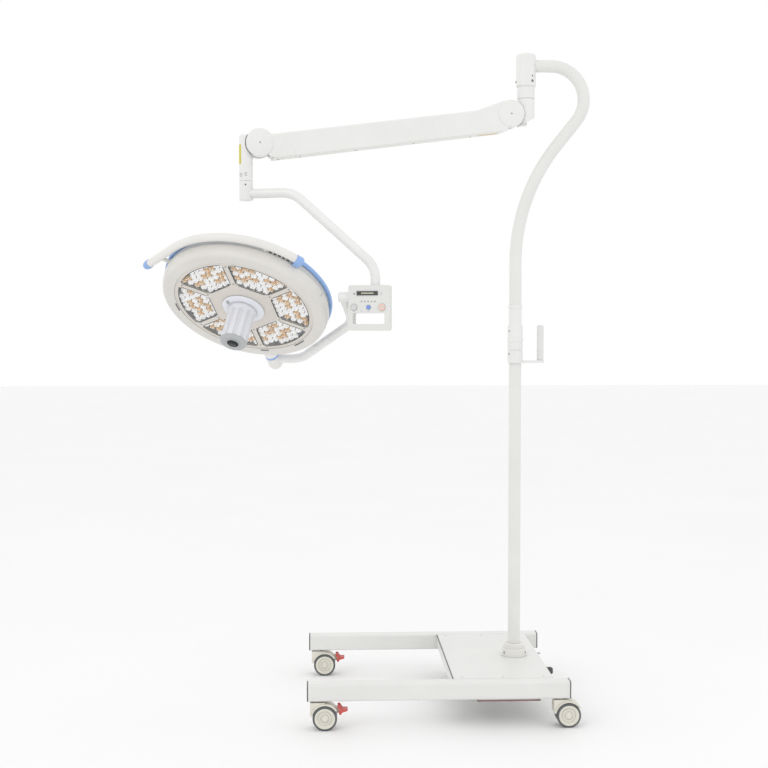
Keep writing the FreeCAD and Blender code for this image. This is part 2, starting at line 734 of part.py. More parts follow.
def make_pivot_pins():
    """The two headed pins on which the arm pitches, fixed in its discs."""
    pin = turned("pivot_pin", [("0", "-disc_wide / 2 - 1"), ("pin_radius - 1", "-disc_wide / 2 - 1"),
                               ("pin_radius", "-disc_wide / 2"), ("pin_radius", "disc_wide / 2"),
                               ("pin_radius - 1", "disc_wide / 2 + 1"), ("0", "disc_wide / 2 + 1")])
    pin.Placement = Placement(Vector(), Rotation(ALONG, 90))
    pins = [copy_at("pivot_pin_" + word, pin, Placement(ALONG * place, Rotation()))
            for word, place in (("rear", 0), ("front", dim["arm_length"]))]
    keep("pivot_pins", group("pins", pins), ARM_FRAME)


SPRING_START = 180


def make_arm_shell():
    """Hollow arm: a box beam with a flared rear end, a forked round head at each pivot and spring seats."""
    length = dim["arm_length"]
    beam = plate("arm_beam", [("16", "-arm_below"), ("arm_length - 20", "-arm_below"),
                              ("arm_length - 20", "arm_above"), ("112", "arm_above"), ("19", "disc_radius"),
                              ("16", "disc_radius - 4")], "arm_wide")
    flare_foot = round_edges("arm_flared", beam, 110,
                             lambda edge: is_line_along(edge, ACROSS)
                             and abs(edge.CenterOfMass.x - 112) < 0.5)
    skin = round_edges("arm_rounded", flare_foot, 7,
                       lambda edge: is_line_along(edge, ALONG) and edge.CenterOfMass.z > 0)
    skin = round_edges("arm_heel", skin, 24,
                       lambda edge: is_line_along(edge, ACROSS) and edge.CenterOfMass.z < -40
                       and edge.CenterOfMass.x > 400)
    discs = [cylinder("arm_disc_" + word, "disc_radius", "disc_wide", (place, -dim["disc_wide"] / 2, 0), ACROSS)
             for word, place in (("rear", 0), ("front", length))]
    solid = fuse("arm_solid", [skin] + discs)
    slot = "tongue_thick + 1.2"
    for word, place in (("rear", 0), ("front", length)):
        room = cylinder("arm_fork_" + word, "52", slot, (place, -dim["tongue_thick"] / 2 - 0.6, 0), ACROSS)
        solid = cut("arm_forked_" + word, solid, room)
    cavity = box("arm_cavity", "arm_length - 86", "arm_wide - 2 * arm_skin", "arm_below + arm_above - arm_skin",
                 (42, 0, -dim["arm_below"]))
    solid = cut("arm_hollow", solid, cavity)
    pins = [cylinder("arm_bore_" + word, "pin_radius", "100", (place, -50, 0), ACROSS)
            for word, place in (("rear", 0), ("front", length))]
    for pin in pins:
        solid = cut(pin.Name + "_cut", solid, pin)
    seats = [box("arm_seat_%d" % k, "4", "arm_wide - 2 * arm_skin", "arm_above + 8", (place, 0, -9))
             for k, place in enumerate((SPRING_START - dim["spring_wire"] - 4,
                                        SPRING_START + dim["spring_length"] + dim["spring_wire"]))]
    keep("arm_shell", fuse("arm_with_seats", [solid] + seats), ARM_FRAME)


def make_arm_cover():
    """Long cover that closes the underside, with a shallow tray edge inside the beam."""
    lid = box("cover_lid", "arm_length - 70", "arm_wide - 1", "4", (36, 0, -dim["arm_below"] - 4))
    rounded = round_edges("cover_rounded", lid, 3, lambda edge: is_line_along(edge, ALONG)
                          and edge.CenterOfMass.z < -dim["arm_below"] - 3)
    rib = box("cover_rib", "arm_length - 120", "arm_wide - 2 * arm_skin - 1", "6", (60, 0, -dim["arm_below"]))
    groove = box("cover_groove", "arm_length - 126", "arm_wide - 2 * arm_skin - 7", "8",
                 (63, 0, -dim["arm_below"]))
    keep("arm_cover", cut("cover_piece", fuse("cover_solid", [rounded, rib]), groove), ARM_FRAME)


def make_arm_spring():
    """Balancing spring: a round-wire coil that lies along the top of the arm's cavity."""
    coil = doc.addObject("Part::Helix", "spring_helix")
    bind(coil, Radius="spring_radius", Pitch="spring_pitch", Height="spring_length")
    section = bind(doc.addObject("Part::Circle", "spring_section"), Radius="spring_wire")
    section.Placement = Placement(Vector(dim["spring_radius"], 0, 0), Rotation(ALONG, 90))
    sweep = doc.addObject("Part::Sweep", "spring_sweep")
    sweep.Sections = [section]
    sweep.Spine = (coil, ["Edge1"])
    sweep.Solid = True
    sweep.Frenet = True
    keep("arm_spring", sweep, ARM_FRAME.multiply(toward(ALONG, (SPRING_START, 0, 4))))


def make_level_link():
    """Rod below the pivots that keeps the front knuckle upright; its eyes turn on the knuckles' pins."""
    length = dim["arm_length"]
    rod = cylinder("link_rod", "link_radius", "arm_length", (0, 0, 0), ALONG)
    eyes = [cylinder("link_eye_" + word, "6", "9", (place, -4.5, 0), ACROSS)
            for word, place in (("rear", 0), ("front", length))]
    solid = fuse("link_solid", [rod] + eyes)
    for word, place in (("rear", 0), ("front", length)):
        bore = cylinder("link_bore_" + word, "3 + running_gap", "30", (place, -15, 0), ACROSS)
        solid = cut("link_bored_" + word, solid, bore)
    below = REAR_PIVOT - UP * dim["link_drop"]
    keep("level_link", solid, frame(below, ARM_LINE, ARM_LINE.cross(ARM_SIDE)))


def make_front_knuckle():
    """Kept level by the link: tongue in the arm's fork, and an upright barrel for the drop tube."""
    ahead = dim["front_offset"]
    low = dim["knuckle_low"] - FRONT_PIVOT.z
    top = dim["knuckle_top"] - FRONT_PIVOT.z
    barrel = cylinder("front_barrel", "knuckle_radius", str(top - low), (ahead, 0, low))
    solid = round_edges("front_barrel_rounded", barrel, 8,
                        lambda edge: isinstance(edge.Curve, Part.Circle) and edge.CenterOfMass.z > 0)
    for room in pivot_cheek_room("front_room"):
        solid = cut(room.Name + "_cut", solid, room)
    tongue_parts = tongue("front_tongue", ahead)
    tongue_parts[1] = common("front_web", tongue_parts[1],
                             cylinder("front_web_top", "tongue_radius + 24", "60", (-12, -30, -32), ACROSS))
    solid = slotted("front_tongue", fuse("front_all", [solid] + tongue_parts), [(0, -15), (-40, 22)], -1)
    bore = cylinder("front_spindle_bore", "12 + running_gap", "54", (ahead, 0, low - 1))
    keep("front_knuckle", cut("front_piece", solid, bore), KNUCKLE_FRAME)


# ---------------------------------------------------------------- drop tube and control box

def make_drop_tube():
    """Swivel barrel with its spindle, and the tube that runs out and down to the control box."""
    low = dim["drop_low"] - dim["tilt_high"]
    axis = dim["drop_axis"] - dim["tilt_high"]
    barrel = cylinder("drop_barrel", "knuckle_radius", "drop_high", (0, 0, low))
    barrel = round_edges("drop_barrel_rounded", barrel, 3,
                         lambda edge: isinstance(edge.Curve, Part.Circle) and edge.CenterOfMass.z < low + 1)
    spindle = cylinder("drop_spindle", "12", "50", (0, 0, low + dim["drop_high"]))
    box_top = dim["box_low"] + dim["box_high"] - dim["tilt_high"]
    corner_low = box_top + 56
    corners = [(0, 0), (0, dim["drop_run"]), (axis - corner_low, dim["drop_reach"]),
               (axis - box_top + 8, dim["drop_reach"])]
    pipe = tube("drop_pipe", bends(corners, [95, 80]), "drop_radius")
    pipe.Placement = frame((0, 0, axis), -UP, ALONG)
    keep("drop_tube", fuse("drop_piece", [barrel, spindle, pipe]), DROP_FRAME)


def box_place(along, up):
    """A place on the control box, from its near lower corner."""
    return Vector(dim["box_near"] + along, 0, dim["box_low"] - dim["tilt_high"] + up)


BUTTONS = [
    ("mode_button", 18, 9.5),
    ("focus_button", 64, 6.5),
    ("power_button", 106, 10.5),
]
BUTTON_HIGH = 71
BUTTON_PROUD = 3
LOOP_LOW = 20


def make_control_box():
    """Moulded case whose lower half is a grab loop; the yoke's bearing is in its near side."""
    front = -dim["box_deep"] / 2
    case = box("case_outer", "box_wide", "box_deep", "box_high", box_place(0, 0))
    case = round_edges("case_rounded", case, 7, lambda edge: is_line_along(edge, ACROSS))
    loop = box("case_loop", "loop_wide", "80", "loop_high", box_place(14, LOOP_LOW))
    loop = round_edges("case_loop_rounded", loop, 5, lambda edge: is_line_along(edge, ACROSS))
    case = cut("case_with_loop", case, loop)
    hollow = box("case_hollow", "box_wide - 46", "box_deep - 2 * box_wall", "80", box_place(38, 54))
    case = cut("case_hollowed", case, hollow)
    window = box("case_window", "window_wide + 0.4", "box_wall", "window_high + 0.4",
                 box_place(25.8, 106.8) + Vector(0, front + dim["box_wall"] / 2, 0))
    case = cut("case_with_window", case, window)
    for name, along, radius in BUTTONS:
        start = box_place(along, BUTTON_HIGH) + Vector(0, front - 1, 0)
        hole = cylinder(name + "_hole", str(radius + 0.4), "16", start, ACROSS)
        case = cut(name + "_hole_cut", case, hole)
    pipe_bore = cylinder("case_pipe_bore", "drop_radius", "30",
                         (dim["drop_reach"], 0, dim["box_low"] + dim["box_high"] - dim["tilt_high"] - 8))
    case = cut("case_pipe_cut", case, pipe_bore)
    bearing = cylinder("case_bearing", "tilt_spindle + running_gap", "28", (dim["box_near"] - 1, 0, 0), ALONG)
    keep("control_box", cut("case_piece", case, bearing), DROP_FRAME)


def make_display():
    front = -dim["box_deep"] / 2
    pane = box("display_pane", "window_wide", "box_wall - 0.6", "window_high",
               box_place(26, 107) + Vector(0, front + 0.6 + (dim["box_wall"] - 0.6) / 2, 0))
    keep("display_window", pane, DROP_FRAME)


def make_control_board():
    """Circuit board behind the front wall, with the display module on it."""
    front = -dim["box_deep"] / 2
    board = box("board_sheet", "82", "1.6", "72", box_place(38, 58) + Vector(0, front + 22, 0))
    module = box("board_module", "50", "8", "16", box_place(44, 105) + Vector(0, front + 17.2, 0))
    keep("control_board", fuse("board_piece", [board, module]), DROP_FRAME)


def make_buttons():
    """Round push buttons, each with a short stem behind it."""
    front = -dim["box_deep"] / 2
    for name, along, radius in BUTTONS:
        body = turned(name + "_body", [("0", "-%g" % BUTTON_PROUD),
                                       ("%g" % (radius - 1), "-%g" % BUTTON_PROUD),
                                       (str(radius), "-%g" % (BUTTON_PROUD - 1)), (str(radius), "5"),
                                       ("0", "5")])
        base = box_place(along, BUTTON_HIGH) + Vector(0, front, 0)
        keep(name, body, DROP_FRAME.multiply(toward(ACROSS, base)))


# ---------------------------------------------------------------- yoke

def make_yoke():
    """Bearing block with its spindle, and the tube that runs round the head to the head hub."""
    block = cylinder("yoke_block", "block_radius", "34", (301, 0, 0), ALONG)
    block = round_edges("yoke_block_rounded", block, 4,
                        lambda edge: isinstance(edge.Curve, Part.Circle) and edge.CenterOfMass.x < 302)
    spindle = cylinder("yoke_spindle", "tilt_spindle", "26", (334, 0, 0), ALONG)
    side = dim["yoke_side"]
    back = dim["yoke_back"]
    corners = [(0, 0), (0, 130), (side - 95, back), (side - dim["headhub_radius"] + 6, back)]
    pipe = tube("yoke_pipe", bends(corners, [90, 90]), "yoke_radius")
    pipe.Placement = frame((side, 0, 0), -ALONG, ACROSS)
    hub_room = cylinder("yoke_hub_room", "headhub_radius", "200", (0, 250, 0), ACROSS)
    solid = cut("yoke_piece", fuse("yoke_solid", [block, spindle, pipe]), hub_room)
    keep("yoke", solid, YOKE_FRAME)


def make_head_hub():
    """Bearing cup at the yoke's end; its outer end is domed."""
    body = turned("headhub_body", [("turn_spindle + running_gap", "0"), ("headhub_radius", "0"),
                                   ("headhub_radius", "48"), ("headhub_radius - 4", "57"),
                                   ("headhub_radius - 12", "63"), ("0", "65"), ("0", "41"),
                                   ("turn_spindle + running_gap", "41")])
    keep("head_hub", body, YOKE_FRAME.multiply(toward(ACROSS, (0, 313, 0))))


def make_hub_collar():
    body = turned("collar_body", [("turn_spindle", "0"), ("headhub_radius - 1", "0"), ("headhub_radius", "1"),
                                  ("headhub_radius", "9"), ("turn_spindle", "9")])
    keep("hub_collar", body, HEAD_FRAME.multiply(toward(ACROSS, (0, 303.8, 0))))


# ---------------------------------------------------------------- head

WINDOW_COUNT = 6
WINDOW_INNER = 113
WINDOW_OUTER = 210
SPOKE_HALF = 8


def window_corners(gap):
    """Half angles of one lamp window: straight sides parallel to its spokes, with a gap all round."""
    inner = WINDOW_INNER + gap
    outer = WINDOW_OUTER - gap
    spoke = SPOKE_HALF + gap
    half = math.pi / WINDOW_COUNT
    points = []
    for radius in (inner, outer):
        points.append((radius, half - math.asin(spoke / radius)))
    return points


def window_solid(name, gap, low, thickness):
    """One lamp window about the X axis: three straight sides and an outer arc."""
    (inner, inner_half), (outer, outer_half) = window_corners(gap)

    def at(radius, angle):
        return Vector(radius * math.cos(angle), radius * math.sin(angle), low)

    edges = [
        Part.LineSegment(at(inner, -inner_half), at(outer, -outer_half)).toShape(),
        Part.Arc(at(outer, -outer_half), at(outer, 0), at(outer, outer_half)).toShape(),
        Part.LineSegment(at(outer, outer_half), at(inner, inner_half)).toShape(),
        Part.LineSegment(at(inner, inner_half), at(inner, -inner_half)).toShape(),
    ]
    solid = Part.Face(Part.Wire(edges)).extrude(UP * thickness)
    corners = [edge for edge in solid.Edges if is_line_along(edge, UP)]
    thing = doc.addObject("Part::Feature", name)
    thing.Shape = solid.makeFillet(9 - gap, corners)
    return thing


def around_head(name, make_one):
    """Six copies about the head's axis; the spokes between them lie at 30 degrees and every 60 after."""
    first = make_one(name + "_0")
    rest = [copy_at("%s_%d" % (name, k), first, Placement(Vector(), Rotation(UP, 60 * k)))
            for k in range(1, WINDOW_COUNT)]
    return [first] + rest


def make_front_bezel():
    body = turned("bezel_body", [("panel_radius + 0.5", "-30"), ("panel_radius + 0.5", "-panel_front - 2"),
                                 ("shell_radius - 7", "-panel_front - 4"), ("shell_radius - 2", "-22"),
                                 ("shell_radius", "-3"), ("shell_radius - 5", "-3"),
                                 ("shell_radius - 8", "-24"), ("shell_radius - 13", "-34"),
                                 ("panel_radius + 8", "-34"), ("panel_radius + 8", "-30")])
    doc.recompute()
    rim = round_edges("bezel_rounded", body, 13,
                      lambda edge: isinstance(edge.Curve, Part.Circle)
                      and abs(edge.CenterOfMass.z + dim["panel_front"] + 4) < 0.1 and edge.Curve.Radius > 240)
    keep("front_bezel", rim, HEAD_FRAME)


VENT_SLOTS = 5
VENT_STARTS = (-58, -168)
VENT_STEP = 3.2


def make_vent_band():
    """Recessed band behind the bezel, notched for the head pivot and cut by vent slots."""
    ring = turned("band_ring", [("shell_radius - 11", "-3"), ("shell_radius - 6", "-3"),
                                ("shell_radius - 6", "20"), ("shell_radius - 11", "20")])
    notch = box("band_notch", "57", "200", "60", (-28.5, 300, -30))
    ring = cut("band_notched", ring, notch)
    for group_number, start in enumerate(VENT_STARTS):
        for k in range(VENT_SLOTS):
            slot = box("band_slot_%d_%d" % (group_number, k), "30", "9", "8", (240, 0, 5))
            around = Placement(Vector(), Rotation(UP, start + k * VENT_STEP))
            slot.Placement = around.multiply(slot.Placement)
            ring = cut("band_slotted_%d_%d" % (group_number, k), ring, slot)
    keep("vent_band", ring, HEAD_FRAME)


def make_trim_ring():
    body = turned("trim_body", [("shell_radius - 12", "20.5"), ("trim_radius - 3", "20.5"),
                                ("trim_radius", "24"), ("trim_radius", "30"), ("trim_radius - 3", "33"),
                                ("shell_radius - 12", "33")])
    keep("trim_ring", body, HEAD_FRAME)


def make_back_cover():
    """Shallow domed back, hollow, seated on the trim ring."""
    body = turned("back_body", [("0", "66"), ("120", "64"), ("205", "56"), ("trim_radius - 14", "42"),
                                ("trim_radius - 6", "33.2"), ("trim_radius - 12", "33.2"),
                                ("trim_radius - 19", "40"), ("203", "53"), ("118", "61"), ("0", "63")])
    keep("back_cover", body, HEAD_FRAME)


def make_led_panel():
    """Front plate with six lamp windows and a raised plateau about the handle."""
    body = turned("panel_body", [("28", "-panel_front"), ("70", "-panel_front - 3"),
                                 ("97", "-panel_front - 3"),
                                 ("101", "-panel_front"), ("panel_radius", "-panel_front"),
                                 ("panel_radius", "-panel_front + 4"), ("28", "-panel_front + 4")])
    openings = around_head("panel_opening", lambda name: window_solid(name, 0, -dim["panel_front"] - 2, 12))
    solid = body
    for opening in openings:
        solid = cut(opening.Name + "_cut", solid, opening)
    keep("led_panel", solid, HEAD_FRAME)


def make_led_windows():
    panes = around_head("lamp_pane", lambda name: window_solid(name, 0.3, -dim["panel_front"] + 1, 3))
    keep("led_windows", group("lamp_panes", panes), HEAD_FRAME)


def make_led_boards():
    """A lamp board behind each window, with a finned heat sink bar on its back."""
    def board(name):
        sheet_part = window_solid(name + "_sheet", 5, -dim["panel_front"] + 14, 2)
        rib = box(name + "_rib", "80", "60", "14", (116, 0, -dim["panel_front"] + 16))
        return fuse(name, [sheet_part, rib])

    keep("led_boards", group("lamp_boards", around_head("lamp_board", board)), HEAD_FRAME)


def make_head_pivot():
    """Arm from inside the head out through the vent band to a boss, with the turning spindle."""
    arm = box("pivot_arm", "56", "100", "19", (-28, 230, 0))
    boss = cylinder("pivot_boss", "headhub_radius", "26", (0, 277, 0), ACROSS)
    boss = round_edges("pivot_boss_rounded", boss, 4,
                       lambda edge: isinstance(edge.Curve, Part.Circle) and edge.CenterOfMass.y < 278)
    spindle = cylinder("pivot_spindle", "turn_spindle", "50", (0, 302, 0), ACROSS)
    keep("head_pivot", fuse("pivot_piece", [arm, boss, spindle]), HEAD_FRAME)


BAR_HIGH = 6
BAR_START = -43
BAR_SPAN = 84
BAR_RUN = 130


def ring_point(radius, degrees, high):
    angle = math.radians(degrees)
    return Vector(radius * math.cos(angle), radius * math.sin(angle), high)


def make_handlebar():
    """Round bar that follows the head's rim and then runs on straight, on two posts."""
    circle = dim["bar_circle"]
    span = math.radians(BAR_SPAN)
    middle = Vector(circle - circle * math.cos(span / 2), circle * math.sin(span / 2), 0)
    arc_end = Vector(circle - circle * math.cos(span), circle * math.sin(span), 0)
    run_end = arc_end + Vector(math.sin(span), math.cos(span), 0) * BAR_RUN
    route = [Part.Arc(Vector(), middle, arc_end), Part.LineSegment(arc_end, run_end)]
    pipe = tube("bar_pipe", route, "bar_radius")
    start = ring_point(circle, BAR_START, BAR_HIGH)
    inward = ring_point(-1, BAR_START, 0)
    heading = ring_point(1, BAR_START - 90, 0)
    bar_frame = frame(start, inward, heading)
    pipe.Placement = bar_frame
    posts = []
    for word, degrees, radius in (("mid", -62, circle), ("far", -142, circle + 12)):
        foot = ring_point(dim["shell_radius"] - 5.8, degrees, BAR_HIGH)
        outward = ring_point(1, degrees, 0)
        reach = str(radius - dim["shell_radius"] + 5.8)
        posts.append(cylinder("bar_post_" + word, "6.5", reach, foot, outward))
    keep("handlebar", fuse("bar_piece", [pipe] + posts), HEAD_FRAME)
    make_bar_caps(bar_frame, run_end, span)


def make_bar_caps(bar_frame, run_end, span):
    """Soft cap on the bar's free end, and the clip that holds its other end to the rim."""
    cap = turned("bar_cap", [("0", "0"), ("bar_radius + 1.5", "0"), ("bar_radius + 1.5", "16"),
                             ("bar_radius - 1", "24"), ("bar_radius - 7", "28"), ("0", "29")])
    heading = Vector(math.sin(span), 0, math.cos(span))
    cap.Placement = bar_frame.multiply(frame(Vector(run_end.x, 0, run_end.y), ACROSS, heading))
    clip = turned("bar_clip", [("0", "-26"), ("bar_radius - 2", "-26"), ("bar_radius + 1.5", "-22"),
                               ("bar_radius + 1.5", "0"), ("0", "0")])
    foot = box("bar_clip_foot", "16", "24", "20", (4, 0, -23))
    solid = fuse("bar_clip_solid", [clip, foot])
    solid.Placement = bar_frame
    rim = cylinder("bar_clip_rim", "shell_radius - 5.8", "60", (0, 0, -30))
    trimmed = cut("bar_clip_piece", solid, rim)
    keep("handlebar_caps", group("bar_caps", [cap, trimmed]), HEAD_FRAME)


FLUTES = 10


def make_handle():
    """Flange and camera core fixed to the head; the fluted grip and its end ring turn on the core."""
    flange = turned("flange_body", [("grip_core + 1", "-panel_front - 3.2"), ("67", "-panel_front - 3.2"),
                                    ("67", "-panel_front - 6"), ("60", "-panel_front - 10"),
                                    ("46", "-panel_front - 13"), ("grip_core + 1", "-panel_front - 13")])
    keep("handle_flange", flange, HEAD_FRAME)
    core = turned("core_body", [("0", "-handle_tip - 2"), ("grip_core - 6", "-handle_tip"),
                                ("grip_core", "-handle_tip + 3"), ("grip_core", "-panel_front + 2"),
                                ("27.5", "-panel_front + 2"), ("27.5", "-panel_front + 12"),
                                ("0", "-panel_front + 12")])
    keep("camera_module", core, HEAD_FRAME)
    grip = turned("grip_sleeve", [("grip_core + running_gap", "-handle_tip + 7"),
                                  ("handle_radius", "-handle_tip + 7"),
                                  ("handle_radius", "-panel_front - 30"),
                                  ("handle_radius + 3", "-panel_front - 14"),
                                  ("grip_core + running_gap", "-panel_front - 14")])
    solid = grip
    for k in range(FLUTES):
        angle = FULL_TURN / FLUTES * k
        base = ring_point(dim["handle_radius"] + 4, angle, -dim["handle_tip"] - 5)
        flute = cylinder("flute_%d" % k, "8", "handle_tip - panel_front - 22", base)
        flute_end = round_edges("flute_round_%d" % k, flute, 7.5,
                                lambda edge: isinstance(edge.Curve, Part.Circle)
                                and edge.CenterOfMass.z > -dim["handle_tip"])
        solid = cut("fluted_%d" % k, solid, flute_end)
    keep("handle_grip", solid, HEAD_FRAME)
    ring = turned("end_ring_body", [("grip_core + running_gap", "-handle_tip"),
                                    ("handle_radius - 3", "-handle_tip"),
                                    ("handle_radius", "-handle_tip + 3"), ("handle_radius", "-handle_tip + 7"),
                                    ("grip_core + running_gap", "-handle_tip + 7")])
    keep("handle_end_ring", ring, HEAD_FRAME)


# ---------------------------------------------------------------- build, check and write

make_beams()
make_end_caps()
make_deck()
make_power_box()
make_gland()
make_bonding_pin()
make_castor_stems()
make_castors()
make_socket()
make_pole()
make_sleeve()
make_push_handle()
make_bent_tube()
make_hub()
make_rear_knuckle()
make_arm_shell()
make_arm_cover()
make_arm_spring()
make_level_link()
make_front_knuckle()
make_pivot_pins()
make_drop_tube()
make_control_box()
make_display()
make_control_board()
make_buttons()
make_yoke()
make_head_hub()
make_hub_collar()
make_front_bezel()
make_vent_band()
make_trim_ring()
make_back_cover()
make_led_panel()
make_led_windows()
make_led_boards()
make_head_pivot()
make_handlebar()
make_handle()

doc.recompute()
for thing in doc.Objects:
    if "Invalid" in thing.State or "Error" in thing.State:
        raise RuntimeError("%s is %s" % (thing.Label, thing.State))

os.makedirs("parts", exist_ok=True)
for node, thing in nodes:
    shape = thing.Shape
    if shape.isNull() or not shape.isValid() or shape.Volume <= 0:
        raise RuntimeError("%s has no valid solid" % node)
    shape.exportStep("parts/%s.step" % node)
    print("%-20s %d solids %10.0f mm3" % (node, len(shape.Solids), shape.Volume))
whole = Part.makeCompound([thing.Shape for node, thing in nodes])
print(len(nodes), "nodes", whole.BoundBox)
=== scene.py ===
import json
import math

import bmesh
import bpy
from mathutils import Matrix, Vector


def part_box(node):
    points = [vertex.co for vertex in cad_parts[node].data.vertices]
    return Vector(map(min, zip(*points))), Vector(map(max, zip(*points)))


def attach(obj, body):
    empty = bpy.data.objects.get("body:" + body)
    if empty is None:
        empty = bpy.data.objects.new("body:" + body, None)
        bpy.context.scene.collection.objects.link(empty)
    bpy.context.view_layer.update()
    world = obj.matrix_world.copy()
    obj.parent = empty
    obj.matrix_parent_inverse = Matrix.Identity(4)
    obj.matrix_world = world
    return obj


# Mobile surgical light: materials for the CAD pieces, the small fittings and markings, light and camera.
# Lengths are metres, and MM turns a size in millimetres into metres.

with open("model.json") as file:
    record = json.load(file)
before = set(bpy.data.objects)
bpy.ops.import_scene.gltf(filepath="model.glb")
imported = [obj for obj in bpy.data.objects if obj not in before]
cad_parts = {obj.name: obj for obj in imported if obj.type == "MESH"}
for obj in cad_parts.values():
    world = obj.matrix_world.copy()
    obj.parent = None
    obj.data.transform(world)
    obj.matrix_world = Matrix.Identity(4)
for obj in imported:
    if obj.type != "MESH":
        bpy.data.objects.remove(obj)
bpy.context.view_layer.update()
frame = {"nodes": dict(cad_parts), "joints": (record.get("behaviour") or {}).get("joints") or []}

MM = 0.001
FULL = 2 * math.pi
nodes = frame["nodes"]
joints = {joint["name"]: joint for joint in frame["joints"]}


def joint_place(name):
    """A joint's anchor at rest, in metres."""
    return Vector(joints[name]["pos_m"])


def joint_axis(name):
    """A joint's unit axis at rest."""
    return Vector(joints[name]["axis"])


def local_frame(origin, x_axis, y_axis):
    """Takes millimetres in a local frame to metres in the row frame."""
    x_axis = x_axis.normalized()
    z_axis = x_axis.cross(y_axis).normalized()
    y_axis = z_axis.cross(x_axis)
    turn = Matrix((x_axis, y_axis, z_axis)).transposed().to_4x4()
    return Matrix.Translation(origin) @ turn @ Matrix.Scale(MM, 4)


def facing(place, outward, spin=0.0):
    """A local frame, in millimetres inside another one, whose Z looks along outward."""
    turn = Vector(outward).to_track_quat("Z", "Y").to_matrix().to_4x4()
    return Matrix.Translation(Vector(place)) @ turn @ Matrix.Rotation(spin, 4, "Z")


def at(x, y, z=0):
    """A local frame moved in millimetres without turning."""
    return Matrix.Translation((x, y, z))


def round_wall(degrees, radius, high):
    """A local frame on a round wall about Z, looking straight out from it."""
    angle = math.radians(degrees)
    out = Vector((math.cos(angle), math.sin(angle), 0))
    return facing(out * radius + Vector((0, 0, high)), out)


def column_frame(place):
    """Millimetres from the floor up round a vertical line through place."""
    column = Matrix.Translation(place) @ Matrix.Scale(MM, 4)
    column.translation.z = 0
    return column


# HEAD has Y along the axis the head turns on and Z out of its back. DROP has X along the yoke's bearing
# and Y into the control box. ARM has X along the spring arm and Z up.
HEAD = local_frame(joint_place("head_turn"), joint_axis("head_turn").cross(joint_axis("handle_twist")),
                   joint_axis("head_turn"))
DROP = local_frame(joint_place("yoke_tilt"), joint_axis("yoke_tilt"), joint_axis("mode_press"))
ARM_LINE = joint_place("front_levelling") - joint_place("arm_pitch")
ARM_LENGTH = ARM_LINE.length / MM
ARM = local_frame(joint_place("arm_pitch"), ARM_LINE, -joint_axis("arm_pitch"))
WORLD = Matrix.Scale(MM, 4)
CENTRED = Matrix.Identity(4)


# ---------------------------------------------------------------- materials

# The middle of a noise's values, how open a corner is where its painted shade is darkest and where there is
# none, how far a corner reaches, and how deep the surface grain is.
NOISE_LOW, NOISE_HIGH = 0.3, 0.7
CORNER_LOW, CORNER_HIGH = 0.35, 0.95
CORNER_REACH = 12 * MM
GRAIN_DEPTH = 0.6 * MM


def noise(tree, vector, scale, detail):
    """A noise pattern's value."""
    node = tree.nodes.new("ShaderNodeTexNoise")
    node.inputs["Scale"].default_value = scale
    node.inputs["Detail"].default_value = detail
    tree.links.new(vector, node.inputs["Vector"])
    return node.outputs["Fac"]


def map_range(tree, value, from_low, from_high, to_low, to_high):
    """A value taken from one range to another."""
    node = tree.nodes.new("ShaderNodeMapRange")
    node.inputs["From Min"].default_value = from_low
    node.inputs["From Max"].default_value = from_high
    node.inputs["To Min"].default_value = to_low
    node.inputs["To Max"].default_value = to_high
    tree.links.new(value, node.inputs["Value"])
    return node.outputs["Result"]


def surface(name, colour, rough, spread=0.05, tint=0.04, grain=900.0, bump=0.04, blotch=6.0, metal=0.0,
            coat=0.0, specular=0.5, corner_shading=0.12, stretch=(1, 1, 1)):
    """A finish with soft colour variation, uneven gloss, a fine grain and painted shade darkening its
    corners.
    """
    material = bpy.data.materials.new(name)
    material.use_nodes = True
    tree = material.node_tree
    shader = tree.nodes["Principled BSDF"]
    shader.inputs["Metallic"].default_value = metal
    shader.inputs["Coat Weight"].default_value = coat
    shader.inputs["Specular IOR Level"].default_value = specular
    place = tree.nodes.new("ShaderNodeTexCoord")
    scaled = tree.nodes.new("ShaderNodeMapping")
    scaled.inputs["Scale"].default_value = stretch
    tree.links.new(place.outputs["Object"], scaled.inputs["Vector"])
    broad = noise(tree, scaled.outputs["Vector"], blotch, 4)
    fine = noise(tree, scaled.outputs["Vector"], grain, 3)

    ramp = tree.nodes.new("ShaderNodeValToRGB")
    dark, light = ramp.color_ramp.elements
    dark.position = NOISE_LOW
    light.position = NOISE_HIGH
    dark.color = [c * (1 - tint) for c in colour] + [1]
    light.color = [min(1.0, c * (1 + tint * 0.5)) for c in colour] + [1]
    tree.links.new(broad, ramp.inputs["Fac"])
    # Painted shade: an occlusion node darkens the base colour in corners and creases, the more closed the
    # darker.
    corner = tree.nodes.new("ShaderNodeAmbientOcclusion")
    corner.samples = 4
    corner.inputs["Distance"].default_value = CORNER_REACH
    corner_shaded = tree.nodes.new("ShaderNodeVectorMath")
    corner_shaded.operation = "SCALE"
    tree.links.new(ramp.outputs["Color"], corner_shaded.inputs[0])
    tree.links.new(map_range(tree, corner.outputs["AO"], CORNER_LOW, CORNER_HIGH, 1 - corner_shading, 1.0),
                   corner_shaded.inputs["Scale"])
    tree.links.new(corner_shaded.outputs["Vector"], shader.inputs["Base Color"])

    tree.links.new(map_range(tree, broad, NOISE_LOW, NOISE_HIGH, rough - spread, rough + spread),
                   shader.inputs["Roughness"])
    relief = tree.nodes.new("ShaderNodeBump")
    relief.inputs["Strength"].default_value = bump
    relief.inputs["Distance"].default_value = GRAIN_DEPTH
    tree.links.new(fine, relief.inputs["Height"])
    tree.links.new(relief.outputs["Normal"], shader.inputs["Normal"])
    return material


def glowing(material, colour, strength):
    """Adds a weak light of its own to a finish."""
    shader = material.node_tree.nodes["Principled BSDF"]
    shader.inputs["Emission Color"].default_value = (*colour, 1)
    shader.inputs["Emission Strength"].default_value = strength
    return material


def see_through(material, alpha):
    """Lets what lies behind a finish show."""
    material.node_tree.nodes["Principled BSDF"].inputs["Alpha"].default_value = alpha
    return material


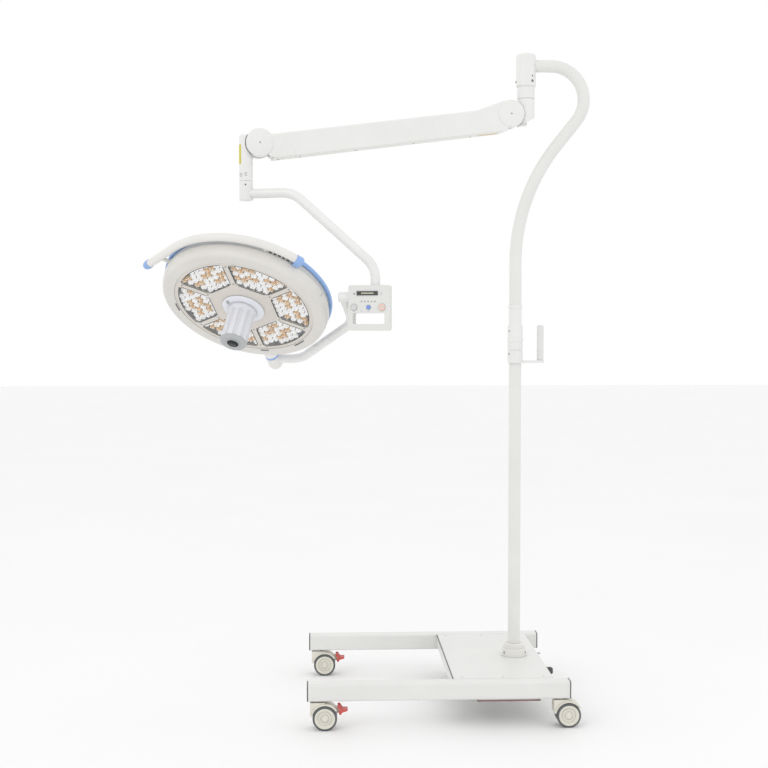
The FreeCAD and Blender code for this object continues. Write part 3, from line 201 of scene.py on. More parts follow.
POWDER = surface("powder_coat_white", (0.77, 0.77, 0.75), 0.42, grain=1600, bump=0.03, coat=0.1)
ARM_PAINT = surface("arm_lacquer_white", (0.80, 0.80, 0.785), 0.30, grain=1200, bump=0.02, coat=0.3)
MOULDED = surface("moulding_warm_white", (0.79, 0.78, 0.75), 0.40, grain=2400, bump=0.05)
# The bezel is a darker, greyer copy of the warm white moulding: painted shade over the whole bezel.
SHADED_BEZEL = surface("bezel_moulding_painted_shade", (0.72, 0.70, 0.665), 0.36, grain=2000, bump=0.04)
PANEL = surface("panel_moulding", (0.70, 0.665, 0.61), 0.45, grain=2600, bump=0.06)
BOX_SHELL = surface("control_box_moulding", (0.74, 0.745, 0.72), 0.42, grain=2600, bump=0.14)
# The vent band is a darker grey than the mouldings round it: painted shade for the band set back under the
# handlebar.
SHADED_BAND = surface("vent_band_painted_shade", (0.60, 0.60, 0.59), 0.50, grain=2400, bump=0.06)
HANDLE = surface("handle_silicone_white", (0.80, 0.815, 0.865), 0.30, grain=1800, bump=0.04, corner_shading=0.45)
RING_GREY = surface("end_ring_grey", (0.46, 0.47, 0.48), 0.34, grain=2000, bump=0.08)
GRIP_GREY = surface("push_grip_light_grey", (0.74, 0.74, 0.735), 0.45, grain=1800, bump=0.15)
DARK = surface("moulding_charcoal", (0.075, 0.078, 0.08), 0.48, tint=0.2, grain=2400, bump=0.15)
CAP_GREY = surface("end_cap_grey", (0.12, 0.125, 0.12), 0.55, tint=0.15, grain=2400, bump=0.2)
CREAM = surface("castor_nylon_cream", (0.74, 0.715, 0.63), 0.38, tint=0.06, grain=1800, bump=0.10, blotch=30)
TYRE = surface("castor_tread_grey", (0.115, 0.125, 0.125), 0.62, tint=0.25, grain=1500, bump=0.3, blotch=40)
RED = surface("pedal_nylon_red", (0.62, 0.10, 0.085), 0.38, tint=0.12, grain=1800, bump=0.12, blotch=40)
BLUE = surface("trim_light_blue", (0.29, 0.46, 0.80), 0.33, tint=0.08, grain=2000, bump=0.06)
STEEL = surface("turned_steel", (0.55, 0.55, 0.56), 0.30, tint=0.1, grain=500, bump=0.10, metal=1.0,
                stretch=(1, 1, 12))
SCREW = surface("screw_zinc", (0.42, 0.42, 0.43), 0.34, tint=0.12, grain=900, bump=0.1, metal=1.0)
CAST = surface("power_box_paint", (0.55, 0.55, 0.54), 0.48, grain=1500, bump=0.15)
BROWN = surface("base_plate_red_brown", (0.30, 0.14, 0.11), 0.5, tint=0.15, grain=1600, bump=0.15)
BOARD = surface("lamp_board_dark", (0.035, 0.045, 0.035), 0.55, tint=0.3, grain=1200, bump=0.3, blotch=80)
LENS = glowing(surface("lens_white", (0.93, 0.94, 0.95), 0.12, grain=600, bump=0.02, coat=0.4, corner_shading=0.5),
               (1.0, 0.985, 0.96), 0.42)
LENS_AMBER = glowing(surface("lens_amber", (0.75, 0.41, 0.11), 0.15, tint=0.15, grain=600, bump=0.02,
                             coat=0.4, corner_shading=0.3), (1.0, 0.58, 0.16), 0.14)
DIE = surface("lens_die_dark", (0.10, 0.13, 0.11), 0.3, tint=0.3, grain=900, bump=0.02)
PANE = see_through(surface("pane_clear", (0.95, 0.97, 0.98), 0.05, spread=0.02, tint=0.02, grain=300,
                           bump=0.01, corner_shading=0.0), 0.10)
GLASS_DARK = surface("camera_glass", (0.010, 0.024, 0.021), 0.06, spread=0.02, tint=0.5, grain=300,
                     bump=0.01, coat=0.2, specular=0.25, blotch=60)
BARREL = surface("camera_barrel_black", (0.022, 0.026, 0.026), 0.42, tint=0.2, grain=2400, bump=0.08,
                 specular=0.2)
DISPLAY = surface("display_glass", (0.028, 0.030, 0.026), 0.10, spread=0.03, tint=0.3, grain=400, bump=0.01,
                  coat=0.8)
READOUT = glowing(surface("display_segments", (0.66, 0.62, 0.50), 0.4, grain=900, bump=0.02),
                  (0.80, 0.74, 0.58), 0.12)
KEY_GREY = surface("key_grey", (0.64, 0.65, 0.645), 0.30, grain=1600, bump=0.05)
KEY_BLUE = surface("key_blue", (0.20, 0.31, 0.76), 0.28, tint=0.1, grain=1600, bump=0.05)
KEY_ORANGE = glowing(surface("key_ring_orange", (0.88, 0.50, 0.38), 0.3, tint=0.1, grain=1600, bump=0.04),
                     (1.0, 0.45, 0.25), 0.15)
INK = surface("marking_grey", (0.16, 0.17, 0.17), 0.55, tint=0.15, grain=2000, bump=0.05)
YELLOW = surface("label_yellow", (0.62, 0.57, 0.06), 0.45, tint=0.1, grain=1500, bump=0.05, blotch=60)
STRAW = surface("label_straw", (0.74, 0.56, 0.30), 0.5, tint=0.08, grain=1500, bump=0.05, blotch=60)
FAINT = surface("seam_grey", (0.40, 0.40, 0.39), 0.55, tint=0.1, grain=2000, bump=0.05)

FINISH = {
    "frame_beams": POWDER, "deck": POWDER, "pole": POWDER, "bent_tube": POWDER,
    "pole_socket": MOULDED, "pole_sleeve": ARM_PAINT, "push_handle": ARM_PAINT, "push_grip": GRIP_GREY,
    "arm_hub": ARM_PAINT, "arm_knuckle": ARM_PAINT, "arm_shell": ARM_PAINT, "arm_cover": MOULDED,
    "front_knuckle": ARM_PAINT, "drop_tube": ARM_PAINT, "yoke": ARM_PAINT, "head_hub": MOULDED,
    "head_pivot": ARM_PAINT, "pivot_pins": STEEL, "arm_spring": STEEL, "level_link": STEEL,
    "bonding_pin": STEEL, "castor_stems": STEEL, "beam_end_caps": CAP_GREY, "mains_gland": DARK,
    "power_box": CAST, "power_supply": SCREW, "control_box": BOX_SHELL, "display_window": DISPLAY,
    "control_board": BOARD, "mode_button": KEY_GREY, "focus_button": KEY_BLUE, "power_button": KEY_GREY,
    "front_bezel": SHADED_BEZEL, "vent_band": SHADED_BAND, "trim_ring": BLUE, "hub_collar": BLUE,
    "handlebar_caps": BLUE, "back_cover": MOULDED, "led_panel": PANEL, "led_windows": PANE,
    "led_boards": BOARD, "handlebar": MOULDED, "handle_flange": HANDLE, "handle_grip": HANDLE,
    "handle_end_ring": RING_GREY, "camera_module": DARK,
}
CASTOR_FINISH = {"castor_hood": CREAM, "castor_wheels": CREAM, "castor_tyres": TYRE, "brake_pedal": RED}


def finish_of(name):
    """A CAD node's finish, by its name or, on a castor, by its name without the corner."""
    if name in FINISH:
        return FINISH[name]
    return CASTOR_FINISH[name.rsplit("_", 1)[0]]


for name, node in nodes.items():
    for slot in node.material_slots:
        slot.material = finish_of(name)


# ---------------------------------------------------------------- mesh helpers

def lathe(bm, outline, place=CENTRED, count=40, start=0.0, sweep=FULL):
    """Turns a line of (radius, height) points about Z. A part turn gets closed ends."""
    closed = abs(sweep - FULL) < 1e-6
    steps = count if closed else count + 1
    rings = []
    for i in range(steps):
        angle = start + sweep * i / count
        along, across = math.cos(angle), math.sin(angle)
        rings.append([bm.verts.new(place @ Vector((r * along, r * across, z))) for r, z in outline])
    for i in range(count):
        here, there = rings[i], rings[(i + 1) % steps]
        for k in range(len(outline) - 1):
            corners = [here[k], there[k], there[k + 1], here[k + 1]]
            flat = [v for j, v in enumerate(corners) if (v.co - corners[j - 1].co).length > 1e-7]
            if len(flat) >= 3:
                bm.faces.new(flat)
    if not closed:
        bm.faces.new(rings[0])
        bm.faces.new(list(reversed(rings[-1])))


def prism(bm, outline, low, high, place=CENTRED):
    """A straight solid over a closed outline of (x, y) points."""
    bottom = [bm.verts.new(place @ Vector((x, y, low))) for x, y in outline]
    top = [bm.verts.new(place @ Vector((x, y, high))) for x, y in outline]
    count = len(outline)
    bm.faces.new(list(reversed(bottom)))
    bm.faces.new(top)
    for i in range(count):
        j = (i + 1) % count
        bm.faces.new([bottom[i], bottom[j], top[j], top[i]])


def rounded_rectangle(wide, high, radius, steps=5):
    """The outline of a rectangle with round corners, centred on the origin."""
    points = []
    for quarter, (sx, sy) in enumerate(((1, 1), (-1, 1), (-1, -1), (1, -1))):
        for i in range(steps + 1):
            angle = math.pi / 2 * (quarter + i / steps)
            points.append((sx * (wide / 2 - radius) + radius * math.cos(angle),
                           sy * (high / 2 - radius) + radius * math.sin(angle)))
    return points


def rim(bm, outer, inner, low, high, place=CENTRED):
    """A closed band between two outlines with the same number of points."""
    rings = []
    for outline, z in ((outer, low), (outer, high), (inner, high), (inner, low)):
        rings.append([bm.verts.new(place @ Vector((x, y, z))) for x, y in outline])
    count = len(outer)
    for k in range(4):
        here, there = rings[k], rings[(k + 1) % 4]
        for i in range(count):
            j = (i + 1) % count
            bm.faces.new([here[i], here[j], there[j], there[i]])


def circle(radius, count=24):
    """The outline of a circle about the origin."""
    return [(radius * math.cos(FULL * i / count), radius * math.sin(FULL * i / count)) for i in range(count)]


def piece(name, bm, to_row, material, body, sharp=35):
    """Finishes a mesh built in millimetres and hangs it on its body."""
    bmesh.ops.remove_doubles(bm, verts=bm.verts, dist=1e-4)
    bmesh.ops.recalc_face_normals(bm, faces=bm.faces)
    for face in bm.faces:
        face.smooth = True
    for edge in bm.edges:
        if len(edge.link_faces) == 2 and edge.calc_face_angle() > math.radians(sharp):
            edge.smooth = False
    bmesh.ops.transform(bm, matrix=to_row, verts=bm.verts)
    mesh = bpy.data.meshes.new(name)
    bm.to_mesh(mesh)
    bm.free()
    thing = bpy.data.objects.new(name, mesh)
    mesh.materials.append(material)
    bpy.context.scene.collection.objects.link(thing)
    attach(thing, body)
    return thing


def screw_head(bm, place, radius):
    """A button head with a hexagon socket, standing on Z = 0 of place."""
    high = radius * 0.55
    socket = radius * 0.45
    lathe(bm, [(radius, 0), (radius, high * 0.35), (radius * 0.88, high * 0.75), (radius * 0.6, high),
               (socket, high)], place, 20)
    lathe(bm, [(socket, high), (socket, high * 0.2), (0, high * 0.2)], place, 6)


# ---------------------------------------------------------------- lamp head

# Heights in the head's frame: the lamp boards, the panel, the bezel's rim and the handle's tip.
BOARD_FRONT = -24.0
PANEL_FRONT = -38
BEZEL_FRONT = -42.3
HANDLE_TIP = -176.6
# The six windows: radius of the inner corners and of the outer edge, and half a spoke's width.
WINDOW_CORNER = 113
WINDOW_OUTER = 210
SPOKE = 8
HALF_WINDOW = math.pi / 6
CORNER_ANGLE = HALF_WINDOW - math.asin(SPOKE / WINDOW_CORNER)
WINDOW_INNER = WINDOW_CORNER * math.cos(CORNER_ANGLE)
# Lens groups: spacing along and between rows, half the room that each takes, the cup's radius, and the
# height at which its domes stand.
LENS_PITCH = 21.4
ROW_PITCH = 18.5
CUP = 10.3
CUP_RADIUS = 9.5
CUP_TOP = 5.5


def lens_places():
    """Close rows of lens groups in each of the six windows: (window, row, place in the row, out, across)."""
    places = []
    rows = int((WINDOW_OUTER - WINDOW_INNER - 2 * CUP + 8) / ROW_PITCH) + 1
    for window in range(6):
        for row in range(rows):
            out = WINDOW_INNER + CUP - 3 + row * ROW_PITCH
            reach = out * math.tan(HALF_WINDOW) - (SPOKE + CUP) / math.cos(HALF_WINDOW)
            shift = LENS_PITCH / 2 if row % 2 else 0
            for i in range(-5, 6):
                across = i * LENS_PITCH + shift
                if abs(across) < reach + 4 and math.hypot(out, across) < WINDOW_OUTER - CUP + 6:
                    places.append((window, row, i, out, across))
    return places


def is_amber(window, row, i):
    """Warm-white lens groups take two places in five of a window's middle rows."""
    return 0 < row < 5 and (row + 2 * i + window) % 5 in (0, 2)


def build_lenses():
    """Round cups of three domed lenses: warm domes have pale tips, white cups one dark emitter each."""
    cups = {False: bmesh.new(), True: bmesh.new()}
    domes = {False: bmesh.new(), True: bmesh.new()}
    rings = bmesh.new()
    dies = bmesh.new()
    for window, row, i, out, across in lens_places():
        turn = Matrix.Rotation(window * math.pi / 3, 4, "Z")
        centre = turn @ at(out, across, BOARD_FRONT) @ Matrix.Rotation(math.pi, 4, "X")
        amber = is_amber(window, row, i)
        lathe(cups[amber], [(CUP_RADIUS, 0), (CUP_RADIUS, 4.6), (CUP_RADIUS - 0.6, 5.4),
                            (CUP_RADIUS - 1.8, 5.6), (0, 5.6)], centre, 20)
        for k in range(3):
            angle = FULL * k / 3 + row * 0.5 + i
            dome = centre @ at(4.7 * math.cos(angle), 4.7 * math.sin(angle), CUP_TOP)
            lathe(domes[amber], [(4.5, 0), (4.4, 1.0), (3.9, 2.3), (2.6, 3.2), (1.2, 3.6), (0, 3.7)],
                  dome, 16)
            if amber:
                lathe(rings, [(2.3, 3.1), (2.2, 3.5), (1.2, 3.8), (0, 3.85)], dome, 12)
            elif k == 0:
                lathe(dies, [(1.5, 3.3), (1.4, 3.75), (0, 3.9)], dome, 10)
    piece("lens_groups_white", cups[False], HEAD, LENS, "lamp_head")
    piece("lens_groups_amber", cups[True], HEAD, LENS_AMBER, "lamp_head")
    piece("lens_domes_white", domes[False], HEAD, LENS, "lamp_head")
    piece("lens_domes_amber", domes[True], HEAD, LENS_AMBER, "lamp_head")
    piece("lens_rings_white", rings, HEAD, LENS, "lamp_head")
    piece("lens_emitters", dies, HEAD, DIE, "lamp_head")


def build_window_frames():
    """A thin dark gasket round each lamp window."""
    bm = bmesh.new()
    low, high = -38.35, -37.4
    for window in range(6):
        turn = Matrix.Rotation(window * math.pi / 3, 4, "Z")
        outer = WINDOW_OUTER - 1
        span = HALF_WINDOW - math.asin((SPOKE + 8) / outer)
        lathe(bm, [(outer - 1, low), (outer + 1, low), (outer + 1, high), (outer - 1, high),
                   (outer - 1, low)], turn, 24, -span, 2 * span)
        chord = WINDOW_CORNER * math.sin(CORNER_ANGLE) - 7
        prism(bm, [(WINDOW_INNER, -chord), (WINDOW_INNER + 2.2, -chord), (WINDOW_INNER + 2.2, chord),
                   (WINDOW_INNER, chord)], low, high, turn)
        for side in (-1, 1):
            way = turn @ Matrix.Rotation(side * HALF_WINDOW, 4, "Z")
            near, far = WINDOW_CORNER + 8, WINDOW_OUTER - 9
            edge = -side * (SPOKE + 1.1)
            prism(bm, [(near, edge - 1), (far, edge - 1), (far, edge + 1), (near, edge + 1)], low, high, way)
    piece("window_gaskets", bm, HEAD, DARK, "lamp_head")


def build_bezel_details():
    """Release slots and catches on the front rim, and screws on the panel's spokes."""
    slots = bmesh.new()
    for degrees, half, radius in ((178, 4.5, 226), (52, 6, 227), (88, 3.5, 228)):
        lathe(slots, [(radius - 1.6, BEZEL_FRONT + 0.6), (radius - 1.2, BEZEL_FRONT),
                      (radius + 1.2, BEZEL_FRONT), (radius + 1.6, BEZEL_FRONT + 0.6)], CENTRED, 16,
              math.radians(degrees - half), math.radians(2 * half))
    piece("bezel_catches", slots, HEAD, DARK, "lamp_head")
    screws = bmesh.new()
    for k in range(6):
        angle = math.radians(30 + 60 * k)
        for radius in (118, 202):
            spot = (radius * math.cos(angle), radius * math.sin(angle), PANEL_FRONT)
            screw_head(screws, facing(spot, (0, 0, -1), angle), 2.6)
    piece("panel_screws", screws, HEAD, SCREW, "lamp_head")


def build_back_details():
    """Raised ribs and a domed middle on the back cover, with its seam and screws."""
    ribs = bmesh.new()
    for k in range(12):
        turn = Matrix.Rotation(FULL * (k + 0.5) / 12, 4, "Z")
        lean = turn @ at(150, 0, 60.6) @ Matrix.Rotation(math.radians(4.5), 4, "Y")
        prism(ribs, rounded_rectangle(70, 5, 2.4), 0, 1.9, lean)
    lathe(ribs, [(52, 65.0), (50, 66.9), (44, 68.3), (20, 69.4), (0, 69.6)], CENTRED, 64)
    piece("back_ribs", ribs, HEAD, MOULDED, "lamp_head")
    seam = bmesh.new()
    lathe(seam, [(226.5, 53.2), (226.5, 53.8), (228.5, 53.4), (228.5, 52.8)], CENTRED, 96)
    piece("back_seam", seam, HEAD, FAINT, "lamp_head")
    screws = bmesh.new()
    for k in range(6):
        angle = FULL * k / 6
        spot = (243 * math.cos(angle), 243 * math.sin(angle), 48)
        screw_head(screws, facing(spot, (0.22 * math.cos(angle), 0.22 * math.sin(angle), 1), angle), 4)
    piece("back_screws", screws, HEAD, SCREW, "lamp_head")


def build_handle_details():
    """The camera's ring, barrel and glass at the handle's tip, and a release key on the flange."""
    tip = at(0, 0, HANDLE_TIP) @ Matrix.Rotation(math.pi, 4, "X")
    ring = bmesh.new()
    lathe(ring, [(22.2, -4.5), (22.4, -0.5), (21.0, 0.6), (18.8, 0.9), (18.2, 0.3), (18.2, -2)], tip, 48)
    piece("camera_ring", ring, HEAD, RING_GREY, "lamp_head")
    barrel = bmesh.new()
    lathe(barrel, [(18.1, -1), (17.6, 0.7), (14.6, 0.9), (14.2, 0.4), (12.4, 0.4), (12.2, -0.4)], tip, 48)
    piece("camera_barrel", barrel, HEAD, BARREL, "lamp_head")
    glass = bmesh.new()
    lathe(glass, [(12.3, -0.4), (11.6, 0.9), (9.4, 1.9), (6.2, 2.7), (3.1, 3.1), (0, 3.2)], tip, 48)
    piece("camera_glass", glass, HEAD, GLASS_DARK, "lamp_head")
    key = bmesh.new()
    prism(key, rounded_rectangle(14, 8, 3.5), 0, 2.2, facing((-38.5, -38.5, -49.6), (0.1, 0.1, -1), 0.78))
    piece("handle_release_key", key, HEAD, RING_GREY, "lamp_head")


def build_rim_details():
    """Joint lines across the bezel's side wall, and a seat round each handlebar post."""
    bm = bmesh.new()
    for degrees in (-10, 170):
        angle = math.radians(degrees)
        lathe(bm, [(265.9, -3.2), (266.2, -3.2), (265.4, -18), (265.1, -18)], CENTRED, 2,
              angle - 0.0025, 0.005)
    piece("bezel_joints", bm, HEAD, FAINT, "lamp_head")
    seats = bmesh.new()
    for degrees in (-62, -142):
        lathe(seats, [(10.5, -1.5), (10.5, 1.2), (9.2, 2.6), (7.4, 3.2), (6.4, 3.4)],
              round_wall(degrees, 260.5, 6), 28)
    piece("bar_post_seats", seats, HEAD, MOULDED, "lamp_head")


# ---------------------------------------------------------------- control box

# The front's place in DROP, then on that front: the keys' height, the power key's place, each key's place
# and opening radius, and the thickness of a printed mark.
BOX_FRONT = -20
KEY_HIGH = -43
POWER_KEY = 46
KEYS = ((-42, 9.5), (4, 6.5), (POWER_KEY, 10.5))
PRINT = (0.05, 0.2)


def box_face():
    """Millimetres on the control box's front: X along it, Y up, Z out towards the user."""
    low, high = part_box("display_window")
    middle = DROP.inverted() @ ((low + high) / 2)
    return DROP @ at(middle.x, BOX_FRONT, middle.z) @ Matrix.Rotation(math.pi / 2, 4, "X")


def build_display(face):
    """The display's frame and its lit bars."""
    bezel = bmesh.new()
    rim(bezel, rounded_rectangle(73, 19, 3), rounded_rectangle(67.4, 13.4, 1.5), -0.6, 0.5)
    piece("display_frame", bezel, face, KEY_GREY, "drop_assembly")
    bars = bmesh.new()
    for k in range(10):
        prism(bars, rounded_rectangle(3.0, 3.6, 0.4, 2), -0.55, -0.35, at(-17.5 + 3.9 * k, 0.3))
    piece("display_bars", bars, face, READOUT, "drop_assembly")


def build_markings(face):
    """Plain printed marks round the display and keys, and a small sensor dot."""
    marks = bmesh.new()
    prism(marks, circle(2.2), -0.2, 0.5, at(-41.5, -1.5))
    for k in range(5):
        spot = at(-18 + 10.5 * k, -25)
        lathe(marks, [(1.5, PRINT[0]), (1.5, PRINT[1]), (2.1, PRINT[1]), (2.1, PRINT[0])], spot, 16)
        bar = (6.4, 0.7) if k % 2 == 0 else (0.7, 6.4)
        prism(marks, rounded_rectangle(*bar, 0.3, 2), *PRINT, spot)
    for along in (-42, -18, 4, 46):
        prism(marks, rounded_rectangle(4.6, 0.8, 0.35, 2), *PRINT, at(along, -54.5))
    for k in range(3):
        prism(marks, rounded_rectangle(4, 0.9, 0.4, 2), *PRINT, at(44, 3 - 3 * k))
    piece("box_markings", marks, face, INK, "drop_assembly")


def build_key_details(face):
    """The power key's orange ring and symbol, and a collar in the box round each key."""
    ring = bmesh.new()
    key = at(POWER_KEY, KEY_HIGH)
    lathe(ring, [(7.6, 2.7), (7.6, 3.35), (9.6, 3.2), (10.2, 2.2)], key, 36)
    prism(ring, rounded_rectangle(1.1, 5, 0.5, 3), 2.8, 3.3, at(POWER_KEY, KEY_HIGH + 1.5))
    lathe(ring, [(3.2, 2.8), (3.2, 3.3), (4.2, 3.3), (4.2, 2.8)], key, 24, math.radians(120),
          math.radians(300))
    piece("power_key_ring", ring, face, KEY_ORANGE, "power_key")
    collars = bmesh.new()
    for along, radius in KEYS:
        lathe(collars, [(radius + 0.5, -0.3), (radius + 0.5, 0.7), (radius + 1.6, 0.7),
                        (radius + 2.0, -0.1)], at(along, KEY_HIGH), 40)
    piece("key_collars", collars, face, KEY_GREY, "drop_assembly")


def build_box_back(face):
    """Screws in the box's back, and the seam between its two halves."""
    screws = bmesh.new()
    back = at(0, 0, -40) @ Matrix.Rotation(math.pi, 4, "Y")
    for x in (-62, 54):
        for y in (18, -58):
            screw_head(screws, back @ at(x, y), 3)
    piece("box_back_screws", screws, face, SCREW, "drop_assembly")
    seam = bmesh.new()
    rim(seam, rounded_rectangle(128.4, 139.4, 7.2), rounded_rectangle(126, 137, 6), -28.4, -27.9,
        at(4, -44.5))
    piece("box_seam", seam, face, FAINT, "drop_assembly")


def build_control_details():
    """Everything on the control box."""
    face = box_face()
    build_display(face)
    build_markings(face)
    build_key_details(face)
    build_box_back(face)


# ---------------------------------------------------------------- arm and stand

# The arm's side faces at its pivots and its underside, both in ARM, and the front knuckle's radius just
# outside its paint.
PIVOT_FACE = 31
ARM_UNDERSIDE = -55
KNUCKLE_WALL = 21.55


def build_arm_details():
    """Turned discs over the pivots, each with a small centre plug, and the cover's label and screws."""
    discs = bmesh.new()
    plugs = bmesh.new()
    for along in (0, ARM_LENGTH):
        for side in (-1, 1):
            spot = facing((along, side * PIVOT_FACE, 0), (0, side, 0))
            lathe(discs, [(42.6, 0), (42.4, 0.9), (41.6, 1.5), (39.8, 1.9), (12, 2.1), (2.6, 2.1)], spot, 72)
            lathe(plugs, [(2.6, 2.1), (2.5, 1.2), (1.4, 1.0), (0, 1.0)], spot, 20)
    piece("pivot_discs", discs, ARM, ARM_PAINT, "spring_arm")
    piece("pivot_plugs", plugs, ARM, INK, "spring_arm")
    label = bmesh.new()
    prism(label, rounded_rectangle(62, 26, 1.5, 3), 0, 0.3, facing((80, 0, ARM_UNDERSIDE), (0, 0, -1)))
    piece("arm_underside_label", label, ARM, STRAW, "spring_arm")
    screws = bmesh.new()
    for along in (140, 330, 520, 700, 770):
        screw_head(screws, facing((along, 0, ARM_UNDERSIDE), (0, 0, -1)), 3)
    piece("arm_cover_screws", screws, ARM, SCREW, "spring_arm")


def wall_patch(bm, low, high, thick, count, start, sweep):
    """A thin patch on the knuckle's round wall, from a start angle and through a sweep in degrees."""
    outer = KNUCKLE_WALL + thick
    lathe(bm, [(KNUCKLE_WALL, low), (outer, low), (outer, high), (KNUCKLE_WALL, high), (KNUCKLE_WALL, low)],
          CENTRED, count, math.radians(start), math.radians(sweep))


def build_knuckle_details():
    """The label and marks on the front knuckle, and the screws of the drop brake and the arm hub."""
    axis = column_frame(joint_place("drop_swivel"))
    label = bmesh.new()
    wall_patch(label, 1737, 1797, 0.3, 16, 158, 70)
    piece("knuckle_label", label, axis, YELLOW, "front_carrier")
    marks = bmesh.new()
    for start, sweep, low_at in ((205, 34, 1697), (261, 20, 1699)):
        for row in range(3):
            high_at = low_at + 4.2 * row
            wall_patch(marks, high_at, high_at + 2.4, 0.2, 8, start, sweep)
    piece("knuckle_marks", marks, axis, RING_GREY, "front_carrier")
    brake = bmesh.new()
    screw_head(brake, round_wall(268, 21.2, 1672), 2.6)
    piece("drop_brake_screw", brake, axis, INK, "drop_assembly")
    hub = bmesh.new()
    for degrees in (-58.5, 180):
        screw_head(hub, round_wall(degrees, 31.6, 2026), 4.4)
    piece("hub_grub_screws", hub, column_frame(joint_place("arm_swivel")), INK, "base")


def build_pole_details():
    """Grub screws of the socket and sleeve, beads round the socket, and end rings on the push grip."""
    low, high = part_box("pole_socket")
    pole_axis = column_frame((low + high) / 2)
    screws = bmesh.new()
    for k in range(3):
        screw_head(screws, round_wall(90 + 120 * k, 39.8, 154), 3.4)
    for degrees, high_at in ((-150, 1140), (30, 1140), (-150, 1215), (30, 1215)):
        screw_head(screws, round_wall(degrees, 24.8, high_at), 3)
    piece("pole_screws", screws, pole_axis, SCREW, "base")
    beads = bmesh.new()
    for low_at, radius in ((143.2, 40.4), (185.2, 20.2)):
        lathe(beads, [(radius, low_at - 0.6), (radius + 1.8, low_at - 0.3), (radius + 1.2, low_at + 1.0),
                      (radius - 0.3, low_at + 1.9)], CENTRED, 64)
    piece("socket_beads", beads, pole_axis, MOULDED, "base")
    rings = bmesh.new()
    for high_at in (1152, 1205):
        lathe(rings, [(10.9, high_at - 2), (11.6, high_at - 1), (11.6, high_at + 1), (10.9, high_at + 2)],
              at(83, 0), 40)
    piece("push_grip_rings", rings, pole_axis, GRIP_GREY, "base")


def build_deck_details():
    """The deck's screws and a dark strip along its open edge, painted shade for the shadow on its flange."""
    low, high = (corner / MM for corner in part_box("deck"))
    heads = bmesh.new()
    for x in (low.x + 30, (low.x + high.x) / 2, high.x - 30):
        for y in (low.y + 18, high.y - 18):
            screw_head(heads, facing((x, y, high.z - 0.3), (0, 0, 1)), 4.2)
    piece("deck_screws", heads, WORLD, POWDER, "base")
    # Painted shade: a dark strip along the deck's open edge stands in for the shadow on its flange.
    edge = bmesh.new()
    prism(edge, rounded_rectangle(2.4, high.y - low.y - 4, 1.1, 3), high.z - 2.4, high.z + 0.9,
          at(low.x - 0.4, (low.y + high.y) / 2))
    piece("deck_edge_painted_shade", edge, WORLD, DARK, "base")


def build_power_box_details():
    """The red-brown skirt round the power box's lower edge, and the screws under its corners."""
    low, high = (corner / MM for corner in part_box("power_box"))
    middle = (low + high) / 2
    thick = 1.2
    wide = high.x - low.x + thick
    deep = high.y - low.y + thick
    skirt = bmesh.new()
    for along, across, x, y in ((wide, thick, 0, deep / 2), (wide, thick, 0, -deep / 2),
                                (thick, deep, wide / 2, 0), (thick, deep, -wide / 2, 0)):
        prism(skirt, rounded_rectangle(along, across, 0.4, 2), low.z + 0.2, low.z + 3.4,
              at(middle.x + x, middle.y + y))
    piece("power_box_skirt", skirt, WORLD, BROWN, "base")
    screws = bmesh.new()
    for sx in (-1, 1):
        for sy in (-1, 1):
            spot = (middle.x + sx * (wide / 2 - 12), middle.y + sy * (deep / 2 - 12), low.z + 0.1)
            screw_head(screws, facing(spot, (0, 0, -1)), 3.4)
    piece("power_box_screws", screws, WORLD, SCREW, "base")


def build_castor_details():
    """An axle cap and two fine rings on the outer face of each wheel."""
    for place in ("front_left", "back_left", "front_right", "back_right"):
        centre = Matrix.Translation(joint_place("roll_" + place)) @ WORLD
        caps = bmesh.new()
        for side in (-1, 1):
            spot = facing((0, side * 27.4, 0), (0, side, 0))
            lathe(caps, [(8.4, 0), (8.2, 0.7), (6.8, 1.05), (5.4, 1.05), (4.8, 0.5), (0, 0.5)], spot, 32)
        piece("wheel_caps_" + place, caps, centre, CREAM, "wheels_" + place)
        lines = bmesh.new()
        for side in (-1, 1):
            spot = facing((0, side * 24.4, 0), (0, side, 0))
            lathe(lines, [(12.2, 0), (12.2, 0.25), (13.2, 0.25), (13.2, 0)], spot, 40)
            lathe(lines, [(20.0, 0), (20.0, 0.25), (20.8, 0.25), (20.8, 0)], spot, 48)
        piece("wheel_rings_" + place, lines, centre, FAINT, "wheels_" + place)


# ---------------------------------------------------------------- stage, light and camera

# The camera stands off the base's front left corner, at the height and angle of the photograph.
CAMERA_OFFSET = Vector((0.053, -3.953, 1.222))
CAMERA_YAW = math.radians(2.63)
CAMERA_DOWN = math.radians(2.40)
FOCAL = 61.6


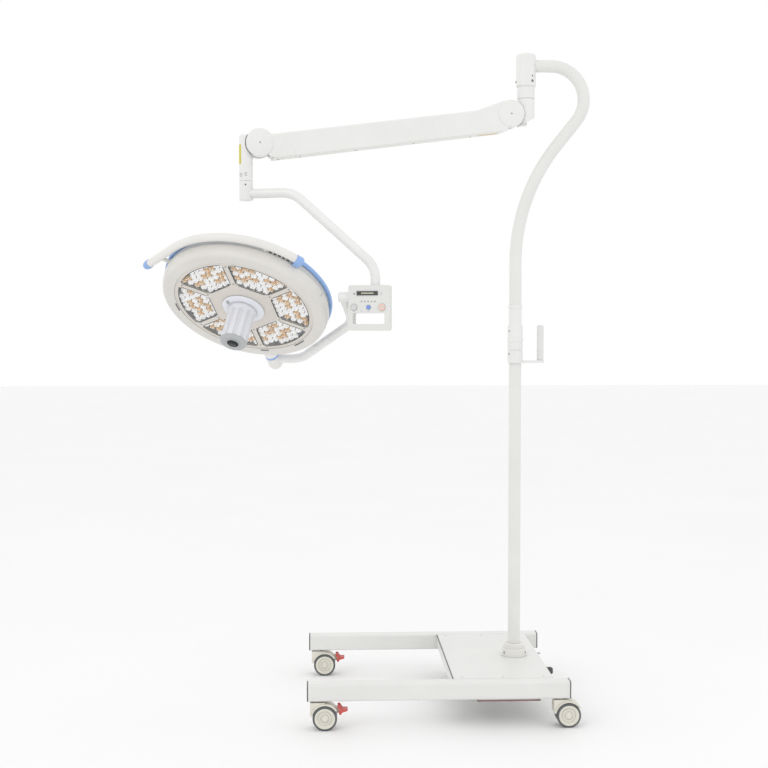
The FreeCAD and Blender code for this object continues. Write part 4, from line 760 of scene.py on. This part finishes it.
def build_stage():
    """A plain pale floor, reaching well past the view."""
    bm = bmesh.new()
    prism(bm, [(-20000, -12000), (20000, -12000), (20000, 24000), (-20000, 24000)], -6, 0)
    bmesh.ops.transform(bm, matrix=WORLD, verts=bm.verts)
    mesh = bpy.data.meshes.new("studio_floor")
    bm.to_mesh(mesh)
    bm.free()
    floor = bpy.data.objects.new("studio_floor", mesh)
    mesh.materials.append(surface("studio_floor_pale", (0.93, 0.93, 0.93), 0.6, grain=60, bump=0.01,
                                  corner_shading=0.0, tint=0.01, blotch=1.0))
    bpy.context.scene.collection.objects.link(floor)


def soft_light(name, place, aim, wide, high, power):
    """A large area lamp at place that faces aim."""
    light = bpy.data.lights.new(name, "AREA")
    light.shape = "RECTANGLE"
    light.size = wide
    light.size_y = high
    light.energy = power
    lamp = bpy.data.objects.new(name, light)
    lamp.location = place
    lamp.rotation_euler = (Vector(aim) - Vector(place)).to_track_quat("-Z", "Y").to_euler()
    bpy.context.scene.collection.objects.link(lamp)


def build_light():
    """A white surround with a weak key from the left and a weaker fill from the right."""
    world = bpy.data.worlds.new("studio")
    bpy.context.scene.world = world
    world.use_nodes = True
    background = world.node_tree.nodes["Background"]
    background.inputs["Color"].default_value = (1.0, 1.0, 1.0, 1)
    background.inputs["Strength"].default_value = 1.0
    middle = (0, 0, 1.2)
    soft_light("key", (-3.2, -4.2, 4.6), middle, 2.8, 2.8, 34)
    soft_light("side", (4.4, -1.6, 2.8), middle, 1.8, 3.2, 9)


def build_camera():
    """A camera at the photograph's place, angle and focal length."""
    start = Vector((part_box("beam_end_caps")[0].x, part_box("frame_beams")[0].y, 0))
    data = bpy.data.cameras.new("camera")
    data.lens = FOCAL
    data.sensor_width = 36
    camera = bpy.data.objects.new("camera", data)
    camera.location = start + CAMERA_OFFSET
    camera.rotation_euler = (math.pi / 2 - CAMERA_DOWN, 0, -CAMERA_YAW)
    bpy.context.scene.collection.objects.link(camera)
    bpy.context.scene.camera = camera


build_camera()
build_stage()
build_light()
build_lenses()
build_window_frames()
build_bezel_details()
build_back_details()
build_handle_details()
build_rim_details()
build_control_details()
build_arm_details()
build_knuckle_details()
build_pole_details()
build_deck_details()
build_power_box_details()
build_castor_details()

bpy.context.scene.view_settings.view_transform = "Standard"
